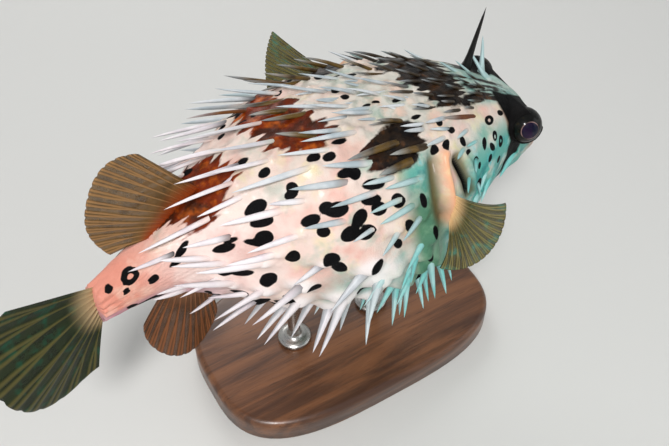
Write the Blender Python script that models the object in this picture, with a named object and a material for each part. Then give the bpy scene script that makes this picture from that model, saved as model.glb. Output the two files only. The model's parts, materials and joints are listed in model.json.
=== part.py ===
"""A life-size museum model of a long-spine porcupinefish on a display stand.

The fish heads along +X, its right side faces -Y and +Z is up. The origin is the centre of the
underside of the stand's base. Lengths are in metres, and shares are of the body length.
"""

import bpy
import numpy as np

# ---------------------------------------------------------------- sizes
BODY_LENGTH = 0.170            # tip of the snout to the root of the tail fin
AXIS_HEIGHT = 0.086            # floor to the fish's level axis
GAP = 0.0003                   # clearance between two pieces that touch
NOSE_SHARE = 0.06              # length of the rounded tip of the snout

# The body at stations along its length: half width, top, bottom and the level where it is widest.
STATION = [0.00, 0.05, 0.12, 0.20, 0.30, 0.42, 0.55, 0.68, 0.79, 0.89, 1.00]
HALF_WIDTH = [0.056, 0.078, 0.112, 0.158, 0.197, 0.223, 0.215, 0.161, 0.091, 0.049, 0.026]
TOP = [0.030, 0.079, 0.123, 0.159, 0.187, 0.198, 0.193, 0.162, 0.115, 0.071, 0.045]
BOTTOM = [-0.068, -0.105, -0.144, -0.179, -0.208, -0.226, -0.216, -0.181, -0.119, -0.062, -0.044]
WIDEST = [-0.021, -0.002, 0.040, 0.042, 0.027, 0.019, 0.014, 0.016, 0.013, 0.004, -0.004]

# How square the sections are. 2 is an ellipse, and the lower half of the face is slimmer.
UPPER_SQUARENESS = 2.2
FACE_SQUARENESS = 1.85
FACE_STATION = 0.12
FACE_BLEND = 0.15

HEAD_TURN = np.radians(-11)   # the head turns to the fish's left
TAIL_TURN = np.radians(18.5)   # the tail swings to its right
TAIL_TURN_START = 0.530
TAIL_TURN_END = 1.1            # behind the root of the tail fin, which is still swinging
MIDDLE = 0.45                  # this share of the length stands over the origin

# Rings of the skin: snout to gills, gills to the last spines, and the bare stalk of the tail
HEAD_RINGS = [0.008, 0.028, 0.060, 0.095, 0.130, 0.165, 0.200, 0.235, 0.270, 0.303, 0.336]
TRUNK_RINGS = np.linspace(0.336, 0.840, 15)
TAIL_RINGS = [0.840, 0.872, 0.904, 0.936, 0.968, 1.000]
COLUMNS = 36                   # faces round the body, so that a spine stands on every second one
CUT_GAP = GAP / BODY_LENGTH

# Spines: lengths by station on the back, the flanks and the belly
TENT_HEIGHT = 0.0016           # skin drawn up round the foot of a spine
BELLY_TENT = 0.0034            # the same where a spine stands up under the belly
FOOT_HEIGHT = 0.0008           # from the drawn-up skin to the widest part of the spine
SPINE_WIDTH = 0.0027
SPINE_STATION = [0.10, 0.24, 0.35, 0.50, 0.62, 0.72, 0.80, 0.86]
BACK_SPINE = [0.008, 0.012, 0.016, 0.021, 0.026, 0.026, 0.019, 0.012]
FLANK_SPINE = [0.004, 0.006, 0.013, 0.020, 0.024, 0.023, 0.017, 0.010]
BELLY_SPINE = [0.004, 0.009, 0.017, 0.020, 0.020, 0.017, 0.011, 0.006]
LENGTH_SPREAD = 0.28           # longest to shortest neighbour, as a share of their length
BACK_RISE = np.radians(24)     # angle between spine and skin
BELLY_RISE = np.radians(61)
HEAD_RISE_LOSS = np.radians(13)  # the top of the head has its spines laid almost flat
HEAD_FLAT = {"from": 0.38, "over": 0.14, "side": 0.35, "blend": 0.40}
RISE_SPREAD = np.radians(7)
RISE_END = 0.92                # station by which the belly's spines lie as flat as the back's
RISE_BLEND = 0.45

# Where spines stand, as stations and as degrees above the level of the axis
FIRST_SPINE = 0.14
LAST_SPINE = 0.84
SPARSE = {"from": 0.40, "below": 42}        # flanks and belly, where they are twice as far apart
FACE_BARE = [(0.19, 65), (0.22, 45)]        # before this station, none below this level
THIN_OUT = 0.785                            # behind here every second row is missing
PECTORAL_BARE = {"from": 0.31, "to_right": 0.41, "to_left": 0.49, "low": -15, "high": 36}
RIDGE_BARE = [(0.64, 85), (0.74, 75)]       # behind this station, none above this level
KEEL_BARE = [(0.62, -85), (0.70, -65)]      # behind this station, none below this level
ROD_BARE = {"station": 0.022, "low": -78}

# Raised spines of the brow, by ring and face: direction back, left and up, then the length
BROW_SPINES = {
    (4, 33): (-0.24, 0.05, 0.97, 0.0230),
    (3, 33): (-0.14, 0.44, 0.89, 0.0130),
    (3, 35): (0.34, 0.72, 0.60, 0.0125),
}

# Eyes
EYE_RADIUS = 0.0062
EYE_STATION = 0.0915
EYE_SIDE = 0.098               # side and level are shares of the body length
EYE_LEVEL = 0.073
EYE_LOOK = (0.18, 0.94, 0.28)  # back, outward and up
LID_RADIUS = 0.0070            # ball of skin that holds the eye
LID_DEPTH = 0.0013             # from the middle of the eye back to the middle of that ball
ORBIT_ANGLE = np.radians(24)   # the skin swells round the eye, most at this level
ORBIT_RISE = 0.008
ORBIT_LENGTH = 0.05
ORBIT_SPREAD = 0.42

# Mouth
BEAK_HALF = np.array([0.0050, 0.0062, 0.0032])
BEAK_BACK = 0.0034
BEAK_DROP = 0.0004
BITE_GAP = 0.0004

# Fins
FIN_RAYS = 8
FIN_ROWS = 7
FIN_LINES = 2 * FIN_RAYS - 1   # the rays and the middle of the skin between them
BETWEEN_RAYS = 0.78            # thickness there, as a share of a ray's
FIN_ROOT_THICKNESS = 0.0012
FIN_EDGE_THICKNESS = 0.0006
THIN_BY = 1 / 1.6              # share of a ray's length by which the fin is thin
FIN_CLEARANCE = 0.0002         # added to the gap, for the slope of the ridge
RIPPLE = 0.0010
RIPPLE_TURNS = 9               # radians of ripple from the first ray to the last
FIN_STATION = 0.85             # the ovals below are measured from the axis here
DORSAL = {"root": (0.765, 0.878), "centre": (0.002, 0.022), "half": (0.025, 0.017),
          "tilt": 55, "sweep": (45, -85)}
ANAL = {"root": (0.770, 0.862), "centre": (-0.001, -0.031), "half": (0.019, 0.013),
        "tilt": -108, "sweep": (-60, 130)}
CAUDAL = {"root": 0.0068, "length": 0.036, "corner_loss": 0.006, "sweep": (30, -78),
          "flatten": 0.92, "clearance": 0.0001}
PECTORAL_STATION = 0.352
PECTORAL_ROOT = (11, -5)       # degrees above the level of the axis, first and last ray
PECTORAL_ROOT_THICKNESS = 0.0026
PECTORAL_ROOT_INSIDE = 0.32    # share of that thickness that starts off the skin
PECTORAL_SAG = 0.004
PECTORAL_BULGE = 0.006

# First, middle and last ray of each pectoral fin: direction back, outward and up, then the length
RIGHT_FAN = [(-0.69, 0.72, 0.04, 0.0167), (-0.16, 0.85, -0.50, 0.0185),
             (0.60, 0.56, -0.57, 0.0163)]
LEFT_FAN = [(0.55, 0.67, 0.50, 0.0294), (0.71, 0.62, 0.34, 0.0284), (0.84, 0.54, 0.13, 0.026)]

# Stand
BASE_LENGTH = 0.120
BASE_WIDTH = 0.074
BASE_HEIGHT = 0.010
BASE_EDGE = 0.0025
BASE_SQUARENESS = 3.2
BASE_COLUMNS = 40
BASE_BEVEL = 0.3               # share of the edge at which its rounding has a middle corner
BASE_FOOT_BEVEL = 0.4          # share of the edge by which the foot is bevelled
ROD_RADIUS = 0.0024
ROD_FOOT_RADIUS = 0.0065
ROD_NECK_RADIUS = 0.0034
ROD_FOOT_HEIGHTS = (0.0015, 0.0030, 0.0042)  # where the collar's wall, cone and neck end
ROD_SINK = 0.006               # length of rod inside the belly
ROD_STATIONS = {"stand_rod_front": 0.375, "stand_rod_rear": 0.585}

COLOUR = {
    "head": (0.62, 0.68, 0.62),
    "trunk": (0.80, 0.72, 0.66),
    "tail": (0.80, 0.62, 0.58),
    "eye": (0.02, 0.02, 0.03),
    "beak": (0.85, 0.80, 0.68),
    "dorsal": (0.42, 0.33, 0.20),
    "anal": (0.36, 0.25, 0.17),
    "caudal": (0.16, 0.20, 0.12),
    "pectoral": (0.50, 0.42, 0.25),
    "walnut": (0.20, 0.11, 0.06),
    "steel": (0.75, 0.72, 0.66),
    "helper": (0.5, 0.5, 0.5),
}
UP = np.array([0.0, 0.0, 1.0])


# ---------------------------------------------------------------- the body's form
def curve(values, s):
    """Smooth line through the values at the stations: cubic pieces that don't overshoot."""
    x, y = np.array(STATION), np.array(values)
    step, rise = np.diff(x), np.diff(y) / np.diff(x)
    slope = np.zeros_like(y)
    before, after = rise[:-1], rise[1:]
    same_way = before * after > 0
    slope[1:-1][same_way] = (2 * before * after)[same_way] / (before + after)[same_way]
    slope[0], slope[-1] = rise[0], rise[-1]
    s = np.clip(s, x[0], x[-1])
    i = np.clip(np.searchsorted(x, s) - 1, 0, len(step) - 1)
    t = (s - x[i]) / step[i]
    start = y[i] * (1 + 2 * t) * (1 - t) ** 2 + slope[i] * step[i] * t * (1 - t) ** 2
    return start + y[i + 1] * t * t * (3 - 2 * t) + slope[i + 1] * step[i] * t * t * (t - 1)


def ease(x):
    """0 to 1 along an S."""
    x = np.clip(x, 0, 1)
    return x * x * (3 - 2 * x)


def turn(s):
    """Angle of the body's axis from the X axis, seen from above."""
    tail = TAIL_TURN * ease((s - TAIL_TURN_START) / (TAIL_TURN_END - TAIL_TURN_START))
    return tail + HEAD_TURN * (1 - ease(s / MIDDLE))


def axis(s):
    """Point of the level axis at a share s of the length, which may be behind the body."""
    samples = np.linspace(0, 1.3, 651)
    angle = turn(samples)
    step = BODY_LENGTH * (samples[1] - samples[0])
    x = -step * np.concatenate([[0], np.cumsum((np.cos(angle[1:]) + np.cos(angle[:-1])) / 2)])
    y = -step * np.concatenate([[0], np.cumsum((np.sin(angle[1:]) + np.sin(angle[:-1])) / 2)])
    x -= np.interp(MIDDLE, samples, x)
    y -= np.interp(MIDDLE, samples, y)
    s = np.asarray(s, float)
    return np.stack([np.interp(s, samples, x), np.interp(s, samples, y), 0 * s + AXIS_HEIGHT], -1)


def backward(s):
    """Level direction from the head to the tail."""
    angle = turn(np.asarray(s, float))
    return np.stack([-np.cos(angle), -np.sin(angle), 0 * angle], -1)


def leftward(s):
    """Level direction to the fish's left."""
    angle = turn(np.asarray(s, float))
    return np.stack([-np.sin(angle), np.cos(angle), 0 * angle], -1)


def beside(s, left, up):
    """The point this far, in shares of the length, to the left of the axis at s and above it."""
    left, up = np.asarray(left, float), np.asarray(up, float)
    return axis(s) + BODY_LENGTH * (leftward(s) * left[..., None] + UP * up[..., None])


def body(s, a):
    """Skin at a share s of the length. The angle a is 0 at the left side and 90 degrees on top.

    Each section is a superellipse, (y / width)^n + (z / height)^n = 1, with its own height
    above and below the widest level.
    """
    s, a = np.broadcast_arrays(np.asarray(s, float), np.asarray(a, float))
    along = np.clip(s / NOSE_SHARE, 0, 1)
    tip = np.sqrt(np.clip(1 - (1 - along) ** 2, 0, 1))
    widest = curve(WIDEST, s)
    width = curve(HALF_WIDTH, s) * tip
    below = np.sin(a) < 0
    height = np.where(below, widest - curve(BOTTOM, s), curve(TOP, s) - widest) * tip
    lower = UPPER_SQUARENESS - FACE_SQUARENESS
    n = np.where(below, FACE_SQUARENESS + lower * ease((s - FACE_STATION) / FACE_BLEND),
                 UPPER_SQUARENESS)
    side = np.abs(np.cos(a) / np.maximum(width, 1e-9)) ** n
    rise = np.abs(np.sin(a) / np.maximum(height, 1e-9)) ** n
    radius = (side + rise) ** (-1 / n)
    off_eye = (np.arctan2(np.sin(a), np.abs(np.cos(a))) - ORBIT_ANGLE) / ORBIT_SPREAD
    off_station = (s - EYE_STATION) / ORBIT_LENGTH
    radius += ORBIT_RISE * tip * np.exp(-off_station ** 2 - off_eye ** 2)
    return beside(s, radius * np.cos(a), widest + radius * np.sin(a))


def skin_frame(s, a):
    """Outward normal and the tangent towards the tail."""
    small = 1e-4
    along = body(s + small, a) - body(s - small, a)
    around = body(s, a + small) - body(s, a - small)
    out = np.cross(along, around)
    out /= np.linalg.norm(out, axis=-1, keepdims=True)
    along /= np.linalg.norm(along, axis=-1, keepdims=True)
    return out, along


# ---------------------------------------------------------------- spines
def chance(i, j):
    """A number from 0 to 1 that depends on the row and the column alone."""
    return np.modf(np.abs(np.sin(i * 12.9898 + j * 78.233) * 43758.5453))[0]


def spine_length(s, a):
    """Long on the back and the flanks, shorter on the face, the throat and near the tail."""
    upper = np.interp(s, SPINE_STATION, BACK_SPINE)
    flank = np.interp(s, SPINE_STATION, FLANK_SPINE)
    lower = np.interp(s, SPINE_STATION, BELLY_SPINE)
    high = np.clip(np.sin(a), 0, 1) ** 1.5
    low = np.clip(-np.sin(a), 0, 1) ** 1.5
    return flank + (upper - flank) * high + (lower - flank) * low


def lowness(s, a):
    """0 on the back and near the tail, 1 under the belly."""
    return ease((0.35 - np.sin(a)) / 1.1) * ease((RISE_END - s) / RISE_BLEND)


def spine_rise(s, a):
    """Angle between a spine and the skin: laid back on the back, raised under the belly."""
    on_head = ease((HEAD_FLAT["from"] - s) / HEAD_FLAT["over"])
    on_top = ease((np.sin(a) - HEAD_FLAT["side"]) / HEAD_FLAT["blend"])
    belly = (BELLY_RISE - BACK_RISE) * lowness(s, a)
    return BACK_RISE + belly - HEAD_RISE_LOSS * on_head * on_top


def has_spine(i, j, s, a):
    """Whether face j of ring i carries a spine: staggered, and off the eyes, fins and rods."""
    if (i, j) in BROW_SPINES:
        return True
    if s < FIRST_SPINE or s > LAST_SPINE:
        return False
    level = np.degrees(np.arctan2(np.sin(a), abs(np.cos(a))))
    if s > SPARSE["from"] and level < SPARSE["below"]:
        if i % 2 or (j + i // 2) % 2:
            return False
    elif (i + j) % 2:
        return False
    if any(s < station and level < lowest for station, lowest in FACE_BARE):
        return False
    if s > THIN_OUT and j % 4 not in (0, 3):
        return False
    bare = PECTORAL_BARE
    fin_end = bare["to_left"] if np.cos(a) > 0 else bare["to_right"]
    if bare["from"] < s < fin_end and bare["low"] < level < bare["high"]:
        return False
    if any(s > station and level > highest for station, highest in RIDGE_BARE):
        return False
    if any(s > station and level < lowest for station, lowest in KEEL_BARE):
        return False
    off_rod = min(abs(s - rod) for rod in ROD_STATIONS.values())
    return not (level < ROD_BARE["low"] and off_rod < ROD_BARE["station"])


def column_angle(j):
    """Angle of the line between faces j - 1 and j. Face 0 is centred on the ridge of the back."""
    return np.pi / 2 + 2 * np.pi * (np.asarray(j) - 0.5) / COLUMNS


# ---------------------------------------------------------------- making objects
def material(name, colour, roughness, metallic):
    """A plain Principled material of one colour."""
    made = bpy.data.materials.new(name)
    made.use_nodes = True
    shader = made.node_tree.nodes["Principled BSDF"]
    shader.inputs["Base Color"].default_value = (*colour, 1)
    shader.inputs["Roughness"].default_value = roughness
    shader.inputs["Metallic"].default_value = metallic
    return made


def piece(name, points, faces, colour, roughness=0.5, metallic=0.0, smooth=False):
    """A mesh object of its own material, named by an entry of COLOUR."""
    mesh = bpy.data.meshes.new(name)
    mesh.from_pydata([tuple(p) for p in np.asarray(points, float)], [], faces)
    mesh.validate()
    made = bpy.data.objects.new(name, mesh)
    bpy.context.scene.collection.objects.link(made)
    made.data.materials.append(material(name, COLOUR[colour], roughness, metallic))
    for face in mesh.polygons:
        face.use_smooth = smooth
    return made


def helper(name, points, faces):
    """A cutter, which is no part of the model itself."""
    made = piece(name, points, faces, "helper")
    made.hide_render = True
    made.display_type = "WIRE"
    return made


def combine(target, other, operation="DIFFERENCE"):
    """Takes the other's volume out of the target, or adds it for a UNION."""
    boolean = target.modifiers.new("with_" + other.name, "BOOLEAN")
    boolean.operation = operation
    boolean.solver = "EXACT"
    boolean.object = other


# ---------------------------------------------------------------- lengths of the body
def body_length(name, rings, first_ring, closed_front=False):
    """One closed length of the body, with its spines grown from the faces of its skin.

    first_ring is the number of its first ring, counted from the snout.
    """
    rings = np.array(rings, float)
    if not closed_front:
        rings[0] += CUT_GAP / 2
    if rings[-1] < 1:
        rings[-1] -= CUT_GAP / 2
    angles = column_angle(np.arange(COLUMNS))
    points = list(body(rings[:, None], angles[None, :]).reshape(-1, 3))
    faces = []

    def ring(i, j):
        return i * COLUMNS + j % COLUMNS

    for i in range(len(rings) - 1):
        for j in range(COLUMNS):
            corners = [ring(i, j), ring(i + 1, j), ring(i + 1, j + 1), ring(i, j + 1)]
            s = (rings[i] + rings[i + 1]) / 2
            a = column_angle(j + 0.5)
            if has_spine(first_ring + i, j, s, a):
                faces += spine(points, corners, s, a, first_ring + i, j)
            else:
                faces.append(corners)
    front = [ring(0, j) for j in range(COLUMNS)]
    if closed_front:
        points.append(body(0.0, 0.0))
        faces += [[len(points) - 1, front[j], front[(j + 1) % COLUMNS]] for j in range(COLUMNS)]
    else:
        faces.append(front)
    faces.append([ring(len(rings) - 1, j) for j in reversed(range(COLUMNS))])
    return piece(name, points, faces, name, roughness=0.45)


def spine(points, corners, s, a, i, j):
    """Replaces a face by a spine: the skin is drawn up to a narrow foot, then runs to a point."""
    out, along = skin_frame(s, a)
    rise = spine_rise(s, a) + RISE_SPREAD * (chance(i, j) - 0.5)
    reach = out * np.sin(rise) + along * np.cos(rise)
    length = spine_length(s, a) * (1 + LENGTH_SPREAD * (chance(j, i + 3) - 0.5))
    if (i, j) in BROW_SPINES:
        *way, length = BROW_SPINES[i, j]
        reach = np.array(way) @ np.array([backward(s), leftward(s), UP])
        reach /= np.linalg.norm(reach)
    square = np.array([points[c] for c in corners])
    root = square.mean(0)
    tent = TENT_HEIGHT + (BELLY_TENT - TENT_HEIGHT) * lowness(s, a)
    foot = root + out * tent + reach * FOOT_HEIGHT
    spread = square - root
    spread -= np.outer(spread @ reach, reach)
    spread *= SPINE_WIDTH / 2 / np.linalg.norm(spread, axis=1, keepdims=True)
    first = len(points)
    points.extend(foot + spread)
    points.append(root + reach * length)
    tip = first + 4
    faces = [[corners[k], corners[(k + 1) % 4], first + (k + 1) % 4, first + k] for k in range(4)]
    return faces + [[first + k, first + (k + 1) % 4, tip] for k in range(4)]


# ---------------------------------------------------------------- rounded pieces
def ellipsoid(centre, half, columns=18, rows=10):
    """Points and outward faces of an ellipsoid, its poles on the Z axis."""
    points = [centre - UP * half[2]]
    for k in range(1, rows):
        level = -np.pi / 2 + np.pi * k / rows
        for j in range(columns):
            angle = 2 * np.pi * j / columns
            unit = np.array([np.cos(level) * np.cos(angle), np.cos(level) * np.sin(angle),
                             np.sin(level)])
            points.append(centre + unit * half)
    points.append(centre + UP * half[2])
    faces = [[0, 1 + (j + 1) % columns, 1 + j] for j in range(columns)]
    for k in range(rows - 2):
        low, high = 1 + k * columns, 1 + (k + 1) * columns
        for j in range(columns):
            n = (j + 1) % columns
            faces.append([low + j, low + n, high + n, high + j])
    last = len(points) - 1
    low = 1 + (rows - 2) * columns
    faces += [[low + j, low + (j + 1) % columns, last] for j in range(columns)]
    return points, faces


def lathe(centre, profile, columns=16):
    """Points and faces of a turned piece. The profile is (radius, height) from the axis up."""
    points = [centre + UP * profile[0][1]]
    for radius, height in profile[1:-1]:
        for j in range(columns):
            angle = 2 * np.pi * j / columns
            points.append(centre + np.array([radius * np.cos(angle), radius * np.sin(angle),
                                             height]))
    points.append(centre + UP * profile[-1][1])
    faces = [[0, 1 + (j + 1) % columns, 1 + j] for j in range(columns)]
    rings = len(profile) - 2
    for k in range(rings - 1):
        low, high = 1 + k * columns, 1 + (k + 1) * columns
        for j in range(columns):
            n = (j + 1) % columns
            faces.append([low + j, low + n, high + n, high + j])
    low, last = 1 + (rings - 1) * columns, len(points) - 1
    faces += [[low + j, low + (j + 1) % columns, last] for j in range(columns)]
    return points, faces


# ---------------------------------------------------------------- fins
def fin(name, roots, tips, curl, root_thickness=FIN_ROOT_THICKNESS):
    """A thin closed fan from a line of roots to a line of tips, curled by a vector per ray.

    Its middle surface is root + (tip - root) u + curl u (1 - u). It is thicker along the rays
    than between them, and thins towards the edge.
    """
    u = np.linspace(0, 1, FIN_ROWS)[:, None, None]
    middle = roots[None] + (tips - roots)[None] * u + curl[None] * u * (1 - u)
    along = np.gradient(middle, axis=0)
    across = np.gradient(middle, axis=1)
    normal = np.cross(along, across)
    normal /= np.linalg.norm(normal, axis=-1, keepdims=True)
    count = roots.shape[0]
    ray = np.where(np.arange(count) % 2 == 0, 1.0, BETWEEN_RAYS)[None, :, None]
    thickness = root_thickness + (FIN_EDGE_THICKNESS - root_thickness) * ease(u / THIN_BY)
    half = normal * thickness * ray / 2
    points = np.concatenate([(middle + half).reshape(-1, 3), (middle - half).reshape(-1, 3)])
    back = FIN_ROWS * count
    faces = []
    for i in range(FIN_ROWS - 1):
        for j in range(count - 1):
            a, b = i * count + j, i * count + j + 1
            c, d = a + count, b + count
            faces.append([a, c, d, b])
            faces.append([back + a, back + b, back + d, back + c])
    rim = list(range(count))
    rim += [i * count + count - 1 for i in range(1, FIN_ROWS)]
    rim += [(FIN_ROWS - 1) * count + j for j in reversed(range(count - 1))]
    rim += [i * count for i in reversed(range(1, FIN_ROWS - 1))]
    for k, a in enumerate(rim):
        b = rim[(k + 1) % len(rim)]
        faces.append([a, b, back + b, back + a])
    return piece(name, points, faces, name.split("_")[0], roughness=0.4)


def oval(shape):
    """Points on the edge of a tilted ellipse, swept from one angle to another: (back, up)."""
    tilt = np.radians(shape["tilt"])
    angle = np.radians(np.linspace(*shape["sweep"], FIN_LINES))
    x, y = shape["half"][0] * np.cos(angle), shape["half"][1] * np.sin(angle)
    return np.stack([shape["centre"][0] + x * np.cos(tilt) - y * np.sin(tilt),
                     shape["centre"][1] + x * np.sin(tilt) + y * np.cos(tilt)], -1)


def upright(flat, station):
    """(back, up) in metres from the axis at a station, set on the body's bent middle plane."""
    s = station + flat[:, 0] / BODY_LENGTH
    return beside(s, 0 * s, flat[:, 1] / BODY_LENGTH)


def facet_line(values, s):
    """The top or bottom line as the flat faces of the body follow it."""
    rings = np.concatenate([TRUNK_RINGS, TAIL_RINGS[1:]])
    return np.interp(s, rings, curve(values, rings))


def ripple():
    """Sideways waves that a swimming fish sends along its fins: one vector for each line."""
    share = np.linspace(0, 1, FIN_LINES)[:, None]
    return leftward(FIN_STATION) * np.sin(share * RIPPLE_TURNS) * RIPPLE


def ridge_fin(name, shape, line, way):
    """A fin on the top line, way 1, or on the bottom line, way -1, edged by an oval."""
    s = np.linspace(*shape["root"], FIN_LINES)
    level = facet_line(line, s) + way * (GAP + FIN_CLEARANCE) / BODY_LENGTH
    fin(name, beside(s, 0 * s, level), upright(oval(shape), FIN_STATION) + ripple(), 2 * ripple())


def caudal_fin():
    """The tail fin: a fan behind the stalk, its corners shorter than its middle."""
    share = np.linspace(0, 1, FIN_LINES)
    level = CAUDAL["root"] * (1 - 2 * share)
    behind = np.full(FIN_LINES, GAP + CAUDAL["clearance"])
    first, last = CAUDAL["sweep"]
    angle = np.radians(first + (last - first) * share)
    length = CAUDAL["length"] - CAUDAL["corner_loss"] * (2 * share - 1) ** 2
    edge = np.stack([length * np.cos(angle),
                     level + length * np.sin(angle) * CAUDAL["flatten"]], -1)
    fin("caudal_fin", upright(np.stack([behind, level], -1), 1.0),
        upright(edge, 1.0) + 1.5 * ripple(), 3 * ripple())


def pectoral_fin(name, side, fan):
    """Fan on the flank, swept through its first, middle and last ray. side is 1 on the left."""
    share = np.linspace(0, 1, FIN_LINES)
    from_top = np.radians(np.linspace(*PECTORAL_ROOT, FIN_LINES))
    a = from_top if side > 0 else np.pi - from_top
    s = np.full(FIN_LINES, PECTORAL_STATION)
    out, _ = skin_frame(s, a)
    roots = body(s, a) + out * (GAP + PECTORAL_ROOT_THICKNESS * PECTORAL_ROOT_INSIDE)
    blend = np.stack([(1 - share) * (1 - 2 * share), 4 * share * (1 - share),
                      share * (2 * share - 1)], -1)
    reach = blend @ np.array(fan, float)
    outward = leftward(PECTORAL_STATION) * side
    away = reach[:, :3] @ np.array([backward(PECTORAL_STATION), outward, UP])
    away /= np.linalg.norm(away, axis=1, keepdims=True)
    tips = roots + away * reach[:, 3:]
    curl = outward * PECTORAL_BULGE - UP * PECTORAL_SAG
    fin(name, roots, tips, np.tile(curl, (FIN_LINES, 1)), PECTORAL_ROOT_THICKNESS)


# ---------------------------------------------------------------- eyes and beak
def eyes(head):
    """Balls in lids, which are balls of skin set a little deeper and joined to the head."""
    back, outward, up = np.array(EYE_LOOK) / np.linalg.norm(EYE_LOOK)
    for name, side in (("eye_left", 1), ("eye_right", -1)):
        centre = beside(EYE_STATION, side * EYE_SIDE, EYE_LEVEL)
        look = back * backward(EYE_STATION) + outward * side * leftward(EYE_STATION) + up * UP
        ball, lid = np.full(3, EYE_RADIUS), np.full(3, LID_RADIUS)
        piece(name, *ellipsoid(centre, ball), "eye", roughness=0.08, smooth=True)
        combine(head, helper("lid_" + name, *ellipsoid(centre - look * LID_DEPTH, lid)), "UNION")
        combine(head, helper("cutter_" + name, *ellipsoid(centre, ball + GAP)))


def beak(head):
    """The tooth plates, one in each jaw, in a mouth cut into the tip of the snout."""
    heading = -backward(0.0)
    centre = body(0.0, 0.0) - heading * BEAK_BACK - UP * BEAK_DROP
    combine(head, helper("cutter_mouth", *ellipsoid(centre, BEAK_HALF + GAP)))
    for name, way in (("beak_upper", 1), ("beak_lower", -1)):
        points, faces = ellipsoid(centre, BEAK_HALF)
        points = np.array(points)
        bite = centre[2] + way * BITE_GAP / 2
        keep_outside = np.maximum if way > 0 else np.minimum
        points[:, 2] = keep_outside(points[:, 2], bite)
        piece(name, *flat_side(points, faces, bite), "beak", roughness=0.3, smooth=True)


def flat_side(points, faces, level):
    """Drops the faces pressed onto the level and closes the plate there with one flat face."""
    on = np.abs(points[:, 2] - level) < 1e-9
    kept = [face for face in faces if not all(on[k] for k in face)]
    edges = {(face[k], face[(k + 1) % len(face)]) for face in kept for k in range(len(face))}
    follow = {b: a for a, b in edges if (b, a) not in edges}
    start = next(iter(follow))
    loop = [start]
    while follow[loop[-1]] != start:
        loop.append(follow[loop[-1]])
    used = sorted({k for face in kept for k in face})
    place = {old: new for new, old in enumerate(used)}
    closed = [[place[k] for k in face] for face in kept] + [[place[k] for k in loop]]
    return points[used], closed


# ---------------------------------------------------------------- stand
def base():
    """A flat superellipse with its top edge rounded off."""
    foot, bevel = BASE_EDGE * BASE_FOOT_BEVEL, BASE_EDGE * BASE_BEVEL
    profile = [(foot, 0.0), (0.0, foot), (0.0, BASE_HEIGHT - BASE_EDGE),
               (bevel, BASE_HEIGHT - bevel), (BASE_EDGE, BASE_HEIGHT)]
    angle = 2 * np.pi * np.arange(BASE_COLUMNS) / BASE_COLUMNS
    across = np.sign(np.cos(angle)) * np.abs(np.cos(angle)) ** (2 / BASE_SQUARENESS)
    deep = np.sign(np.sin(angle)) * np.abs(np.sin(angle)) ** (2 / BASE_SQUARENESS)
    points = [np.stack([across * (BASE_LENGTH / 2 - inset), deep * (BASE_WIDTH / 2 - inset),
                        0 * angle + height], -1) for inset, height in profile]
    around = range(BASE_COLUMNS)
    faces = [list(reversed(around))]
    for k in range(len(profile) - 1):
        low, high = k * BASE_COLUMNS, (k + 1) * BASE_COLUMNS
        for j in around:
            n = (j + 1) % BASE_COLUMNS
            faces.append([low + j, low + n, high + n, high + j])
    faces.append([(len(profile) - 1) * BASE_COLUMNS + j for j in around])
    piece("stand_base", np.concatenate(points), faces, "walnut", roughness=0.45)


def rods(trunk):
    """Two rods with a collar on the base, each ending in a socket in the belly."""
    for name, s in ROD_STATIONS.items():
        foot = axis(s) * np.array([1, 1, 0]) + UP * (BASE_HEIGHT + GAP)
        top = AXIS_HEIGHT + BODY_LENGTH * curve(BOTTOM, s) + ROD_SINK - foot[2]
        wall, cone, neck = ROD_FOOT_HEIGHTS
        profile = [(0, 0), (ROD_FOOT_RADIUS, 0), (ROD_FOOT_RADIUS, wall), (ROD_NECK_RADIUS, cone),
                   (ROD_RADIUS, neck), (ROD_RADIUS, top), (0, top)]
        piece(name, *lathe(foot, profile), "steel", roughness=0.25, metallic=1.0, smooth=True)
        hole = [(0, top - 2 * ROD_SINK), (ROD_RADIUS + GAP, top - 2 * ROD_SINK),
                (ROD_RADIUS + GAP, top + GAP), (0, top + GAP)]
        combine(trunk, helper("cutter_" + name, *lathe(foot, hole)))


# ---------------------------------------------------------------- the whole
def clear():
    """Removes whatever the scene holds at the start."""
    for thing in list(bpy.data.objects):
        bpy.data.objects.remove(thing)


clear()
head_part = body_length("head", HEAD_RINGS, 0, closed_front=True)
trunk_part = body_length("trunk", TRUNK_RINGS, len(HEAD_RINGS) - 1)
body_length("tail", TAIL_RINGS, len(HEAD_RINGS) + len(TRUNK_RINGS) - 2)
eyes(head_part)
beak(head_part)
ridge_fin("dorsal_fin", DORSAL, TOP, 1)
ridge_fin("anal_fin", ANAL, BOTTOM, -1)
caudal_fin()
pectoral_fin("pectoral_fin_right", -1, RIGHT_FAN)
pectoral_fin("pectoral_fin_left", 1, LEFT_FAN)
base()
rods(trunk_part)
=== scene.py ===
# %% [markdown]
# # A long-spine porcupinefish for a museum shelf
# The fish is one closed skin with about two hundred and fifty spines standing on it, five fins,
# two glossy eyes and a beak. Everything grows from one function, `body(s, a)`, which gives the
# point of the skin at a share `s` of the length and an angle `a` round it. Skin, spines, fins
# and markings all ask it where they are, so they can't drift apart.

import json

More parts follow.
